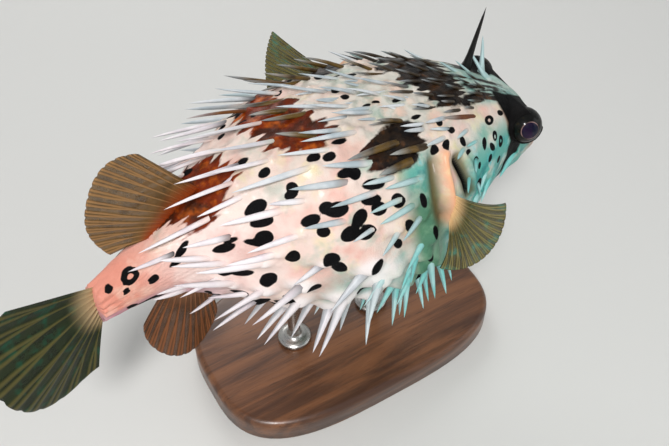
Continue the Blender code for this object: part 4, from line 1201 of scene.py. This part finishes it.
# Painted shade: one side of each spine is darkened to bluish grey, a shadow painted along its
# underside.
shade = between(tree, value_of(tree, "under"), 0.45, 0.95, 0.0, 0.55)
bone = mixed(tree, shade, bone, screen(132, 150, 156))
foot_share = between(tree, along, 0.03, 0.42, 1.0, 0.0)
foot_colour = mixed(tree, value_of(tree, "pale_foot"), ground_colour(tree), screen(240, 232, 230))
foot_colour = mixed(tree, between(tree, value_of(tree, "spot"), -0.3, 0.2), foot_colour,
                    screen(5, 4, 6))
colour = mixed(tree, maths(tree, "MULTIPLY", foot_share, value_of(tree, "skin_foot")), bone,
               foot_colour)
in_blotch = between(tree, value_of(tree, "blotch"), -3.2, -1.4)
olive = patched(tree, (96, 72, 26), (38, 27, 14), 170.0, 0.48, 0.85)
olive = mixed(tree, maths(tree, "MULTIPLY", value_of(tree, "rust"), 0.45), olive,
              screen(124, 56, 18))
olive = mixed(tree, value_of(tree, "head_top"), olive, screen(34, 26, 18))
still_olive = between(tree, along, 0.45, 0.95, 1.0, 0.55)
colour = mixed(tree, maths(tree, "MULTIPLY", in_blotch, still_olive), colour, olive)
colour = mixed(tree, value_of(tree, "black"), colour, screen(12, 9, 8))
tree.links.new(colour, shader["Base Color"])
bumped(tree, shader, use(tree, RELIEF, Coarse=900.0, Fine=3000.0, Balance=0.4), 0.0002, 0.5)

# %% Spine piece
BAKE_PATCH = 0.003
PATCH_PLACE = np.stack(np.broadcast_arrays(
    (np.cos(ROUND)[None, :] * (0.2 + 0.8 * ALONG[:, None].clip(0, 1))) * BAKE_PATCH / 2,
    (np.sin(ROUND)[None, :] * (0.2 + 0.8 * ALONG[:, None].clip(0, 1))) * BAKE_PATCH / 2), -1)
spine_place = np.stack([(SPINE_A % (2 * np.pi)) / (2 * np.pi) * 0.98 + 0.01, 0.01 + 0.98 * SPINE_S], -1)
spine_uv = spine_place[:, None, None] + PATCH_PLACE[None]
root_marks = marks(SPINE_S, SPINE_A, SPINE_ROOT)
# A spine looks olive where its root is well inside a blotch. The brow and the flank have none, some
# others are pale at random, and behind mid-back only those in the middle of a blotch are olive.
root_marks["blotch"][on_brow | on_flank & (SPINE_S > 0.43)] = -9.0
root_marks["blotch"] -= 3.0 * (chance(ring_of + 2, face_of + 9) > 0.7) + 6.5 * (SPINE_S > 0.5)
# The tall spine of the brow is black
black = ((ring_of == 4) & (face_of == 33)) * 1.0
root_marks["white"] = np.maximum(low, ease((SPINE_S - 0.55) / 0.12))
root_marks["skin_foot"] = np.where(on_brow, 0.5, 0.95)
root_marks["pale_foot"] = hanging * (1 - root_marks["spine_turquoise_shade"])
root_marks["head_top"] = 0.8 * ease((0.36 - SPINE_S) / 0.04)
rusty = ring_of == RUSTY_SPINE
by_hand = olive_spine | rusty
root_marks["blotch"][by_hand] = 5.0
root_marks["rust"][by_hand] = rusty[by_hand]
root_marks["head_top"][rusty] = 0.0
shape = rings.shape[:3]
spine_values = {key: np.broadcast_to(numbers[:, None, None], shape)
                for key, numbers in {**root_marks, "black": black}.items()}
spine_values["along"] = np.broadcast_to(ALONG[None, :, None], shape)
# Which side of each spine takes the painted shade.
spine_values["under"] = np.broadcast_to((1 + np.sin(ROUND)) / 2, shape)
tubes("spine_coat", rings, path[:, 0, 0] - SPINE_WAY * 0.0004, tip[:, 0, 0], SPINE_FINISH, "skin",
      (), spine_values, spine_uv)

# %% [markdown]
# ## Fins
# A fin is a fan of soft rays with thin skin between them. Its middle surface runs from a line of
# roots to a line of tips and bulges between them. The rays are ridges of thickness that split in
# two towards the edge, and the edge has a small scallop between rays. The skin between them lets
# some light through, so the material is partly clear there.


# %% Fin surfaces
def fin_piece(name, roots, tips, bulge, rays, material, slot, rows=46, thick=0.00052, thin=0.00016):
    """A fan: root + (tip - root) u + bulge u (1 - u), with ridges along its rays.

    u goes from 0 at the root to 1 at the edge. A ray is a bell curve over the share across the
    fan, and past u = 0.4 it parts into two.
    """
    columns = roots.shape[0]
    u = np.linspace(0, 1, rows)[:, None]
    share = np.linspace(0, 1, columns)[None, :]
    phase = share * rays
    from_ray = np.abs(phase - np.floor(phase) - 0.5)
    fork = 0.17 * ease((u - 0.35) / 0.5)
    ridge = bell(from_ray - fork, 0.10 + 0.03 * u)
    scallop = 1 - 0.012 * bell(from_ray - 0.5, 0.14) * ease((u - 0.7) / 0.3)
    edge = u * scallop
    middle = roots[None] + (tips - roots)[None] * edge[..., None]
    middle = middle + bulge[None] * (u * (1 - u))[..., None]
    rim = np.minimum(np.minimum(share, 1 - share) * columns / 3, (1 - u) * rows / 2.5)
    rounded = np.sqrt(np.clip(1 - (1 - np.clip(rim, 0, 1)) ** 2, 0, 1))
    rounded = rounded * np.where(u == 0, 0.0, 1.0)
    half = (thin + (thick - thin) * ridge * (1 - 0.55 * u)) * rounded
    return sheet(name, middle, half, material, slot, (name.replace("visual_", ""),),
                 {"ray": ridge, "reach": u + 0 * share, "share": share + 0 * u})


def oval(shape, columns):
    """Points on the edge of a tilted ellipse, swept from one angle to another: (back, up)."""
    tilt = np.radians(shape["tilt"])
    angle = np.radians(np.linspace(*shape["sweep"], columns))
    x, y = shape["half"][0] * np.cos(angle), shape["half"][1] * np.sin(angle)
    return np.stack([shape["centre"][0] + x * np.cos(tilt) - y * np.sin(tilt),
                     shape["centre"][1] + x * np.sin(tilt) + y * np.cos(tilt)], -1)


def upright(flat, station):
    """(back, up) in metres from the axis at a station, set on the body's bent middle plane."""
    s = station + flat[:, 0] / LENGTH
    return beside(s, 0 * s, flat[:, 1] / LENGTH)


# %% Sizes of the fins
FIN_STATION = 0.85
DORSAL = {"root": (0.765, 0.878), "centre": (0.002, 0.022), "half": (0.025, 0.017),
          "tilt": 55, "sweep": (45, -85), "rays": 13}
ANAL = {"root": (0.770, 0.862), "centre": (-0.001, -0.031), "half": (0.019, 0.013),
        "tilt": -108, "sweep": (-60, 130), "rays": 12}
CAUDAL = {"root": 0.0068, "length": 0.036, "corner_loss": 0.006, "sweep": (30, -78), "rays": 9}
PECTORAL_STATION = 0.352
RIGHT_FAN = [(-0.69, 0.72, 0.04, 0.0167), (-0.16, 0.85, -0.50, 0.0185),
             (0.60, 0.56, -0.57, 0.0163)]
LEFT_FAN = [(0.55, 0.67, 0.50, 0.0294), (0.71, 0.62, 0.34, 0.0284), (0.84, 0.54, 0.13, 0.026)]


def ripple(columns):
    """Sideways waves that a swimming fish sends along its fins: one vector for each line."""
    share = np.linspace(0, 1, columns)[:, None]
    return leftward(FIN_STATION) * np.sin(share * 9) * 0.0010


print("rays:", DORSAL["rays"], "dorsal,", ANAL["rays"], "anal,", CAUDAL["rays"], "tail")


# %% [markdown]
# ## Finish of the fins
# Rays are pale and a little glossy, the skin between them is dull and thin. One function mixes
# both along the ray and makes the thin part partly clear.


# %% Fin materials
def fin_finish(name, ray_colour, skin_colour, root_colour, clear, patch=None):
    """A fin's material. clear is how much of the light the skin between the rays lets through."""
    made, tree, shader = finish_of(name, Roughness=0.5, Coat_Weight=0.06, Coat_Roughness=0.25,
                                   Specular_IOR_Level=0.2)
    ray, reach = value_of(tree, "ray"), value_of(tree, "reach")
    darker = [0.6 * c for c in skin_colour]
    colour = patched(tree, skin_colour, darker, 220.0, 0.45, 0.6)
    if patch is not None:
        colour = patched(tree, colour, patch, 260.0, 0.38, 0.8)
    colour = mixed(tree, between(tree, ray, 0.2, 1.0, 0.0, 0.75), colour, screen(*ray_colour))
    colour = mixed(tree, between(tree, reach, 0.02, 0.30, 1.0, 0.0), colour, screen(*root_colour))
    tree.links.new(colour, shader["Base Color"])
    thin = maths(tree, "MULTIPLY", between(tree, ray, 0.15, 0.7, 1.0, 0.0),
                 between(tree, reach, 0.10, 0.45))
    opacity = maths(tree, "SUBTRACT", 1.0, maths(tree, "MULTIPLY", thin, clear))
    tree.links.new(opacity, shader["Alpha"])
    bumped(tree, shader, use(tree, RELIEF, Coarse=800.0, Fine=2600.0, Balance=0.5), 0.0002, 0.5)
    return made


DORSAL_FINISH = fin_finish("dorsal_fin_skin", (166, 124, 80), (118, 88, 48), (150, 62, 20), 0.26)
ANAL_FINISH = fin_finish("anal_fin_skin", (140, 84, 50), (96, 60, 32), (140, 98, 72), 0.22)
CAUDAL_FINISH = fin_finish("tail_fin_skin", (92, 84, 42), (30, 40, 14), (176, 150, 112), 0.08,
                           patch=(8, 72, 50))
PECTORAL_FINISH = fin_finish("pectoral_fin_skin", (126, 114, 66), (80, 76, 40),
                             (224, 184, 132), 0.24, patch=(44, 120, 100))

# %% Dorsal, anal and tail fin
FINE = 181
for name, shape, line, way, material in (("visual_dorsal_fin", DORSAL, TOP, 1, DORSAL_FINISH),
                                         ("visual_anal_fin", ANAL, BOTTOM, -1, ANAL_FINISH)):
    s = np.linspace(*shape["root"], FINE)
    roots = beside(s, 0 * s, curve(line, s) - way * 0.0010 / LENGTH)
    tips = upright(oval(shape, FINE), FIN_STATION) + ripple(FINE)
    fin_piece(name, roots, tips, 2 * ripple(FINE), shape["rays"], material, "fin")

share = np.linspace(0, 1, FINE)
level = CAUDAL["root"] * (1 - 2 * share)
first, last = CAUDAL["sweep"]
angle = np.radians(first + (last - first) * share)
length = CAUDAL["length"] - CAUDAL["corner_loss"] * (2 * share - 1) ** 2
length -= 0.0020 * bell(share, 0.07) + 0.0075 * bell(1 - share, 0.16)
edge = np.stack([length * np.cos(angle), level + length * np.sin(angle) * 0.92], -1)
fin_piece("visual_caudal_fin", upright(np.stack([0 * share - 0.0012, level], -1), 1.0),
          upright(edge, 1.0) + 1.5 * ripple(FINE), 3 * ripple(FINE), CAUDAL["rays"],
          CAUDAL_FINISH, "tail_fin", thick=0.0007)


# %% Pectoral fins
def pectoral_fin(name, side, fan):
    """Fan on the flank, swept through its first, middle and last ray. side is 1 on the left."""
    share = np.linspace(0, 1, FINE)
    from_top = np.radians(np.linspace(13, -3, FINE))
    a = from_top if side > 0 else np.pi - from_top
    s = np.full(FINE, PECTORAL_STATION)
    roots = body(s, a) + skin_frame(s, a)[0] * 0.0004
    blend = np.stack([(1 - share) * (1 - 2 * share), 4 * share * (1 - share),
                      share * (2 * share - 1)], -1)
    reach = blend @ np.array(fan, float)
    outward = leftward(PECTORAL_STATION) * side
    away = unit(reach[:, :3] @ np.array([backward(PECTORAL_STATION), outward, UP]))
    bulge = np.tile(outward * 0.006 - UP * 0.004, (FINE, 1))
    bulge = bulge + np.cross(away, UP) * (0.0012 * np.sin(share * 22))[:, None]
    fin_piece(name, roots, roots + away * reach[:, 3:], bulge, 14, PECTORAL_FINISH, "fin",
              thick=0.0006)


pectoral_fin("visual_pectoral_fin_right", -1, RIGHT_FAN)
pectoral_fin("visual_pectoral_fin_left", 1, LEFT_FAN)

# %% [markdown]
# ## Eyes
# The eyeball of a museum model is a glass bead with the iris painted on its back. Here it is one
# closed surface, turned about the direction in which the eye looks, and its clear coat does the
# work of the glass. The pupil is large and blue-black, inside a thin gold and violet ring. The rest
# of the iris is nearly black, as the bar through the eye asks.

# %% Eye material
EYE_FINISH, tree, shader = finish_of("eye_glass", Roughness=0.4, Coat_Weight=0.6,
                                     Coat_Roughness=0.03, Coat_IOR=1.36,
                                     Specular_IOR_Level=0.05)
angle = value_of(tree, "from_middle")
iris = patched(tree, (12, 12, 10), (52, 44, 22), 520.0, 0.36, 0.6)
ring = maths(tree, "MULTIPLY", between(tree, angle, 27.5, 28.5),
             between(tree, angle, 29.0, 31.5, 1.0, 0.0))
uneven = between(tree, noise(tree, 260.0), 0.42, 0.62, 0.15, 1.0)
iris = mixed(tree, maths(tree, "MULTIPLY", ring, uneven), iris, screen(150, 118, 116))
lens = mixed(tree, between(tree, noise(tree, 150.0), 0.42, 0.60), screen(6, 10, 34),
             screen(34, 10, 44))
pupil = between(tree, angle, 26.0, 28.0, 1.0, 0.0)
colour = mixed(tree, pupil, iris, lens)
tree.links.new(colour, shader["Base Color"])

# %% Eye pieces
TURNED = np.linspace(0, 2 * np.pi, 97)[:-1]
for name, side in (("eye_left", 1), ("eye_right", -1)):
    centre, look = eye_frame(side)
    across = unit(np.cross(UP, look))
    upward = np.cross(look, across)
    from_middle = np.linspace(0, np.pi, 66)[1:-1, None]
    cornea = 1 + 0.035 * bell(np.degrees(from_middle), 34.0)
    ball = look * np.cos(from_middle)[..., None]
    ball = ball + (across * np.cos(TURNED)[:, None] + upward * np.sin(TURNED)[:, None])[None] * (
        np.sin(from_middle)[..., None])
    points = centre + ball * (EYE_RADIUS * cornea)[..., None]
    tubes("visual_" + name, points[None], (centre + look * EYE_RADIUS * 1.035)[None],
          (centre - look * EYE_RADIUS)[None], EYE_FINISH, "eye", (name,),
          {"from_middle": np.degrees(from_middle)[None] + np.zeros((1, 1, len(TURNED)))})

# %% [markdown]
# ## Beak
# The teeth are fused into one strong plate in each jaw, which gives the family its name. Each
# plate is half a flattened egg with fine growth lines and a bevelled cutting edge.

# %% Beak material and pieces
BEAK_FINISH, tree, shader = finish_of("tooth_plate", Roughness=0.3, Coat_Weight=0.4,
                                      Coat_Roughness=0.12, Subsurface_Weight=0.1,
                                      Subsurface_Scale=0.002)
ivory = patched(tree, (236, 226, 198), (206, 186, 146), 350.0, 0.45, 0.7)
tree.links.new(mixed(tree, between(tree, value_of(tree, "edge"), 0.0, 0.35, 0.55, 0.0), ivory,
                     screen(168, 138, 96)), shader["Base Color"])
bumped(tree, shader, use(tree, RELIEF, Coarse=1200.0, Fine=4000.0, Balance=0.4), 0.0001, 0.5)
BITE_GAP = 0.0004
around = np.linspace(0, 2 * np.pi, 73)[:-1]
for name, way in (("beak_upper", 1), ("beak_lower", -1)):
    climb = np.linspace(0, np.pi / 2, 26)[:-1, None] + 0.04
    flat_x = np.cos(climb) * np.cos(around * way)
    flat_y = np.cos(climb) * np.sin(around * way)
    growth = 1 + 0.012 * np.sin(climb * 26)
    rise = np.sin(climb) * BEAK_HALF[2] + BITE_GAP / 2 + 0 * around
    points = BEAK_CENTRE + np.stack([flat_x * BEAK_HALF[0] * growth, flat_y * BEAK_HALF[1] * growth,
                                     way * rise], -1)
    bite = BEAK_CENTRE + UP * way * BITE_GAP / 2
    top = BEAK_CENTRE + UP * way * (BEAK_HALF[2] + BITE_GAP / 2)
    tubes("visual_" + name, points[None], bite[None], top[None], BEAK_FINISH, "tooth", (name,),
          {"edge": (climb / (np.pi / 2) + 0 * around)[None]})

# %% [markdown]
# ## Stand
# A museum stand stays out of the way: a low block of walnut with its top edge rounded off, and two
# short rods of brushed steel, each with a small collar. The grain is a stack of thin noise layers,
# stretched along the block.

# %% Walnut and steel
WALNUT, tree, shader = finish_of("walnut", Roughness=0.38, Coat_Weight=0.25, Coat_Roughness=0.2)
place = put(tree, "ShaderNodeTexCoord").outputs["Object"]
long_grain = put(tree, "ShaderNodeMapping", {0: place, 3: (12.0, 150.0, 150.0)}).outputs[0]
wavy = put(tree, "ShaderNodeTexNoise", {"Vector": long_grain, "Scale": 1.0, "Detail": 5.0,
                                        "Roughness": 0.62, "Distortion": 0.6}).outputs["Fac"]
pores = put(tree, "ShaderNodeMapping", {0: place, 3: (90.0, 1600.0, 1600.0)}).outputs[0]
pores = noise(tree, 1.0, 2.0, vector=pores)
colour = mixed(tree, between(tree, wavy, 0.34, 0.66), screen(70, 42, 26), screen(122, 78, 48))
colour = mixed(tree, between(tree, pores, 0.60, 0.72, 0.0, 0.6), colour, screen(44, 26, 17))
tree.links.new(colour, shader["Base Color"])
bumped(tree, shader, pores, 0.00012, 0.5)

STEEL, tree, shader = finish_of("brushed_steel", Metallic=1.0)
place = put(tree, "ShaderNodeTexCoord").outputs["Object"]
lines = put(tree, "ShaderNodeMapping", {0: place, 3: (300.0, 300.0, 9000.0)}).outputs[0]
brushed = noise(tree, 1.0, 2.0, vector=lines)
tree.links.new(mixed(tree, brushed, screen(178, 176, 172), screen(206, 204, 200)), shader["Base Color"])
tree.links.new(between(tree, brushed, 0.3, 0.7, 0.24, 0.36), shader["Roughness"])

# %% Base and rods
BASE_LENGTH, BASE_WIDTH, BASE_HEIGHT, BASE_EDGE, BASE_SQUARENESS = 0.120, 0.074, 0.010, 0.0025, 3.2
turned = np.linspace(0, 2 * np.pi, 241)[:-1]
corner = np.linspace(0, np.pi / 2, 9)
inset = np.concatenate([[BASE_EDGE * 0.25, 0.0], BASE_EDGE * (1 - np.cos(corner))])[:, None]
height = np.concatenate([[0.0, BASE_EDGE * 0.25], BASE_HEIGHT - BASE_EDGE + BASE_EDGE * np.sin(corner)])
power = 2 / BASE_SQUARENESS
across = np.sign(np.cos(turned)) * np.abs(np.cos(turned)) ** power * (BASE_LENGTH / 2 - inset)
deep = np.sign(np.sin(turned)) * np.abs(np.sin(turned)) ** power * (BASE_WIDTH / 2 - inset)
points = np.stack([across, deep, height[:, None] + 0 * across], -1)
tubes("visual_stand_base", points[None], np.zeros((1, 3)), (UP * BASE_HEIGHT)[None], WALNUT,
      "walnut", ("stand_base",))

COLLAR_RADIUS, COLLAR_HEIGHT, ROD_SINK, GAP = 0.0065, 0.0030, 0.006, 0.0003
# The collar's outline and then the rod's, as shares of the collar's radius and height
OUTLINE_RADIUS = np.array([0.97, 1.0, 1.0, 0.97, 0.72, 0.50, 0.40, 0.372, 0.369, 0.369, 0.34])
OUTLINE_HEIGHT = np.array([0, 0.06, 0.42, 0.52, 0.70, 0.88, 1.10, 1.45, 1.9, 0, 0])
turned = np.linspace(0, 2 * np.pi, 65)[:-1]
for name, s in ROD_STATIONS.items():
    start = axis(s) * np.array([1, 1, 0]) + UP * (BASE_HEIGHT + GAP)
    top = AXIS_HEIGHT + LENGTH * curve(BOTTOM, s) + ROD_SINK - start[2]
    radius = OUTLINE_RADIUS * COLLAR_RADIUS
    height = OUTLINE_HEIGHT * COLLAR_HEIGHT
    height[-2:] = top - GAP, top
    points = start + np.stack([radius[:, None] * np.cos(turned), radius[:, None] * np.sin(turned),
                               height[:, None] + 0 * turned], -1)
    tubes("visual_" + name, points[None], start[None], (start + UP * top)[None], STEEL, "rod", (name,))

# %% [markdown]
# ## Floor, light and camera
# The floor is plain and bends up into a low wall far behind, as the paper sweep of a studio does,
# so no view has a horizon. The paper is a little paler far out, where less light reaches it. A
# large soft lamp over the viewer's left shoulder is the main light, a second one fills the shadows
# and a third from behind draws the edges of the spines. The camera looks down on the fish from
# behind its right side.

# %% Floor
FLAT_RADIUS, SWEEP_RADIUS, WALL_HEIGHT = 1.6, 0.5, 1.6
bend = np.linspace(0, np.pi / 2, 25)
profile_radius = np.concatenate([[0.2, FLAT_RADIUS / 2], FLAT_RADIUS + SWEEP_RADIUS * np.sin(bend),
                                 [FLAT_RADIUS + SWEEP_RADIUS]])
profile_height = np.concatenate([[0.0, 0.0], SWEEP_RADIUS * (1 - np.cos(bend)), [WALL_HEIGHT]])
around = np.linspace(0, 2 * np.pi, 121)[:-1]
sweep = np.stack([profile_radius[:, None] * np.cos(around), profile_radius[:, None] * np.sin(around),
                  profile_height[:, None] + 0 * around], -1)
rows, columns = sweep.shape[:2]
corner = np.arange((rows - 1) * columns)
right = corner - corner % columns + (corner + 1) % columns
faces = np.stack([corner, corner + columns, right + columns, right], -1)
floor_mesh = bpy.data.meshes.new("floor")
floor_mesh.from_pydata(sweep.reshape(-1, 3).tolist(), [], faces.tolist() + [list(range(columns))])
floor_mesh.shade_smooth()
floor = bpy.data.objects.new("floor", floor_mesh)
bpy.context.scene.collection.objects.link(floor)
FLOOR_FINISH, tree, shader = finish_of("pale_floor", Roughness=0.8, Specular_IOR_Level=0.2)
place = put(tree, "ShaderNodeTexCoord").outputs["Object"]
radius = put(tree, "ShaderNodeVectorMath", {0: place}, operation="LENGTH").outputs["Value"]
# Painted light: the floor and wall are painted paler far out, making up for the lamp light that falls
# off there.
tree.links.new(mixed(tree, between(tree, radius, 0.5, 1.7), screen(214, 213, 209),
                     screen(252, 252, 250)), shader["Base Color"])
floor_mesh.materials.append(FLOOR_FINISH)


# %% Lights
def lamp(name, place, size, power, colour=(1.0, 1.0, 1.0)):
    """A square area lamp that looks at the fish."""
    light = bpy.data.lights.new(name, "AREA")
    light.size, light.energy, light.color = size, power, colour
    made = bpy.data.objects.new(name, light)
    made.location = place
    made.rotation_euler = (Vector(axis(0.5)) - made.location).to_track_quat("-Z", "Y").to_euler()
    bpy.context.scene.collection.objects.link(made)
    print(name, "lamp,", power, "W")


lamp("key", (-0.42, -0.50, 0.75), 0.15, 6.5)
lamp("fill", (0.70, -0.55, 0.45), 0.6, 1.0, (0.93, 0.97, 1.0))
lamp("edge", (0.25, 0.80, 0.55), 0.5, 3.0)
world = bpy.data.worlds.new("studio")
world.use_nodes = True
world.node_tree.nodes["Background"].inputs["Color"].default_value = (0.92, 0.95, 1.0, 1)
world.node_tree.nodes["Background"].inputs["Strength"].default_value = 0.38
bpy.context.scene.world = world
bpy.context.scene.view_settings.view_transform = "Standard"

# %% Camera
CAMERA_AZIMUTH, CAMERA_ELEVATION = np.radians(30.9), np.radians(42.63)
CAMERA_DISTANCE = 0.27
camera = bpy.data.objects.new("camera", bpy.data.cameras.new("camera"))
forward = Vector((np.sin(CAMERA_AZIMUTH) * np.cos(CAMERA_ELEVATION),
                  np.cos(CAMERA_AZIMUTH) * np.cos(CAMERA_ELEVATION), -np.sin(CAMERA_ELEVATION)))
camera.location = Vector(axis(0.5)) - forward * CAMERA_DISTANCE
camera.rotation_euler = forward.to_track_quat("-Z", "Y").to_euler()
camera.data.sensor_width = 36
camera.data.lens = 43.0
camera.data.shift_x = 0.0129
camera.data.shift_y = -0.0595
camera.data.clip_start = 0.01
bpy.context.scene.collection.objects.link(camera)
bpy.context.scene.camera = camera
print("camera", np.round(camera.location, 3), "with a lens of", camera.data.lens, "mm")
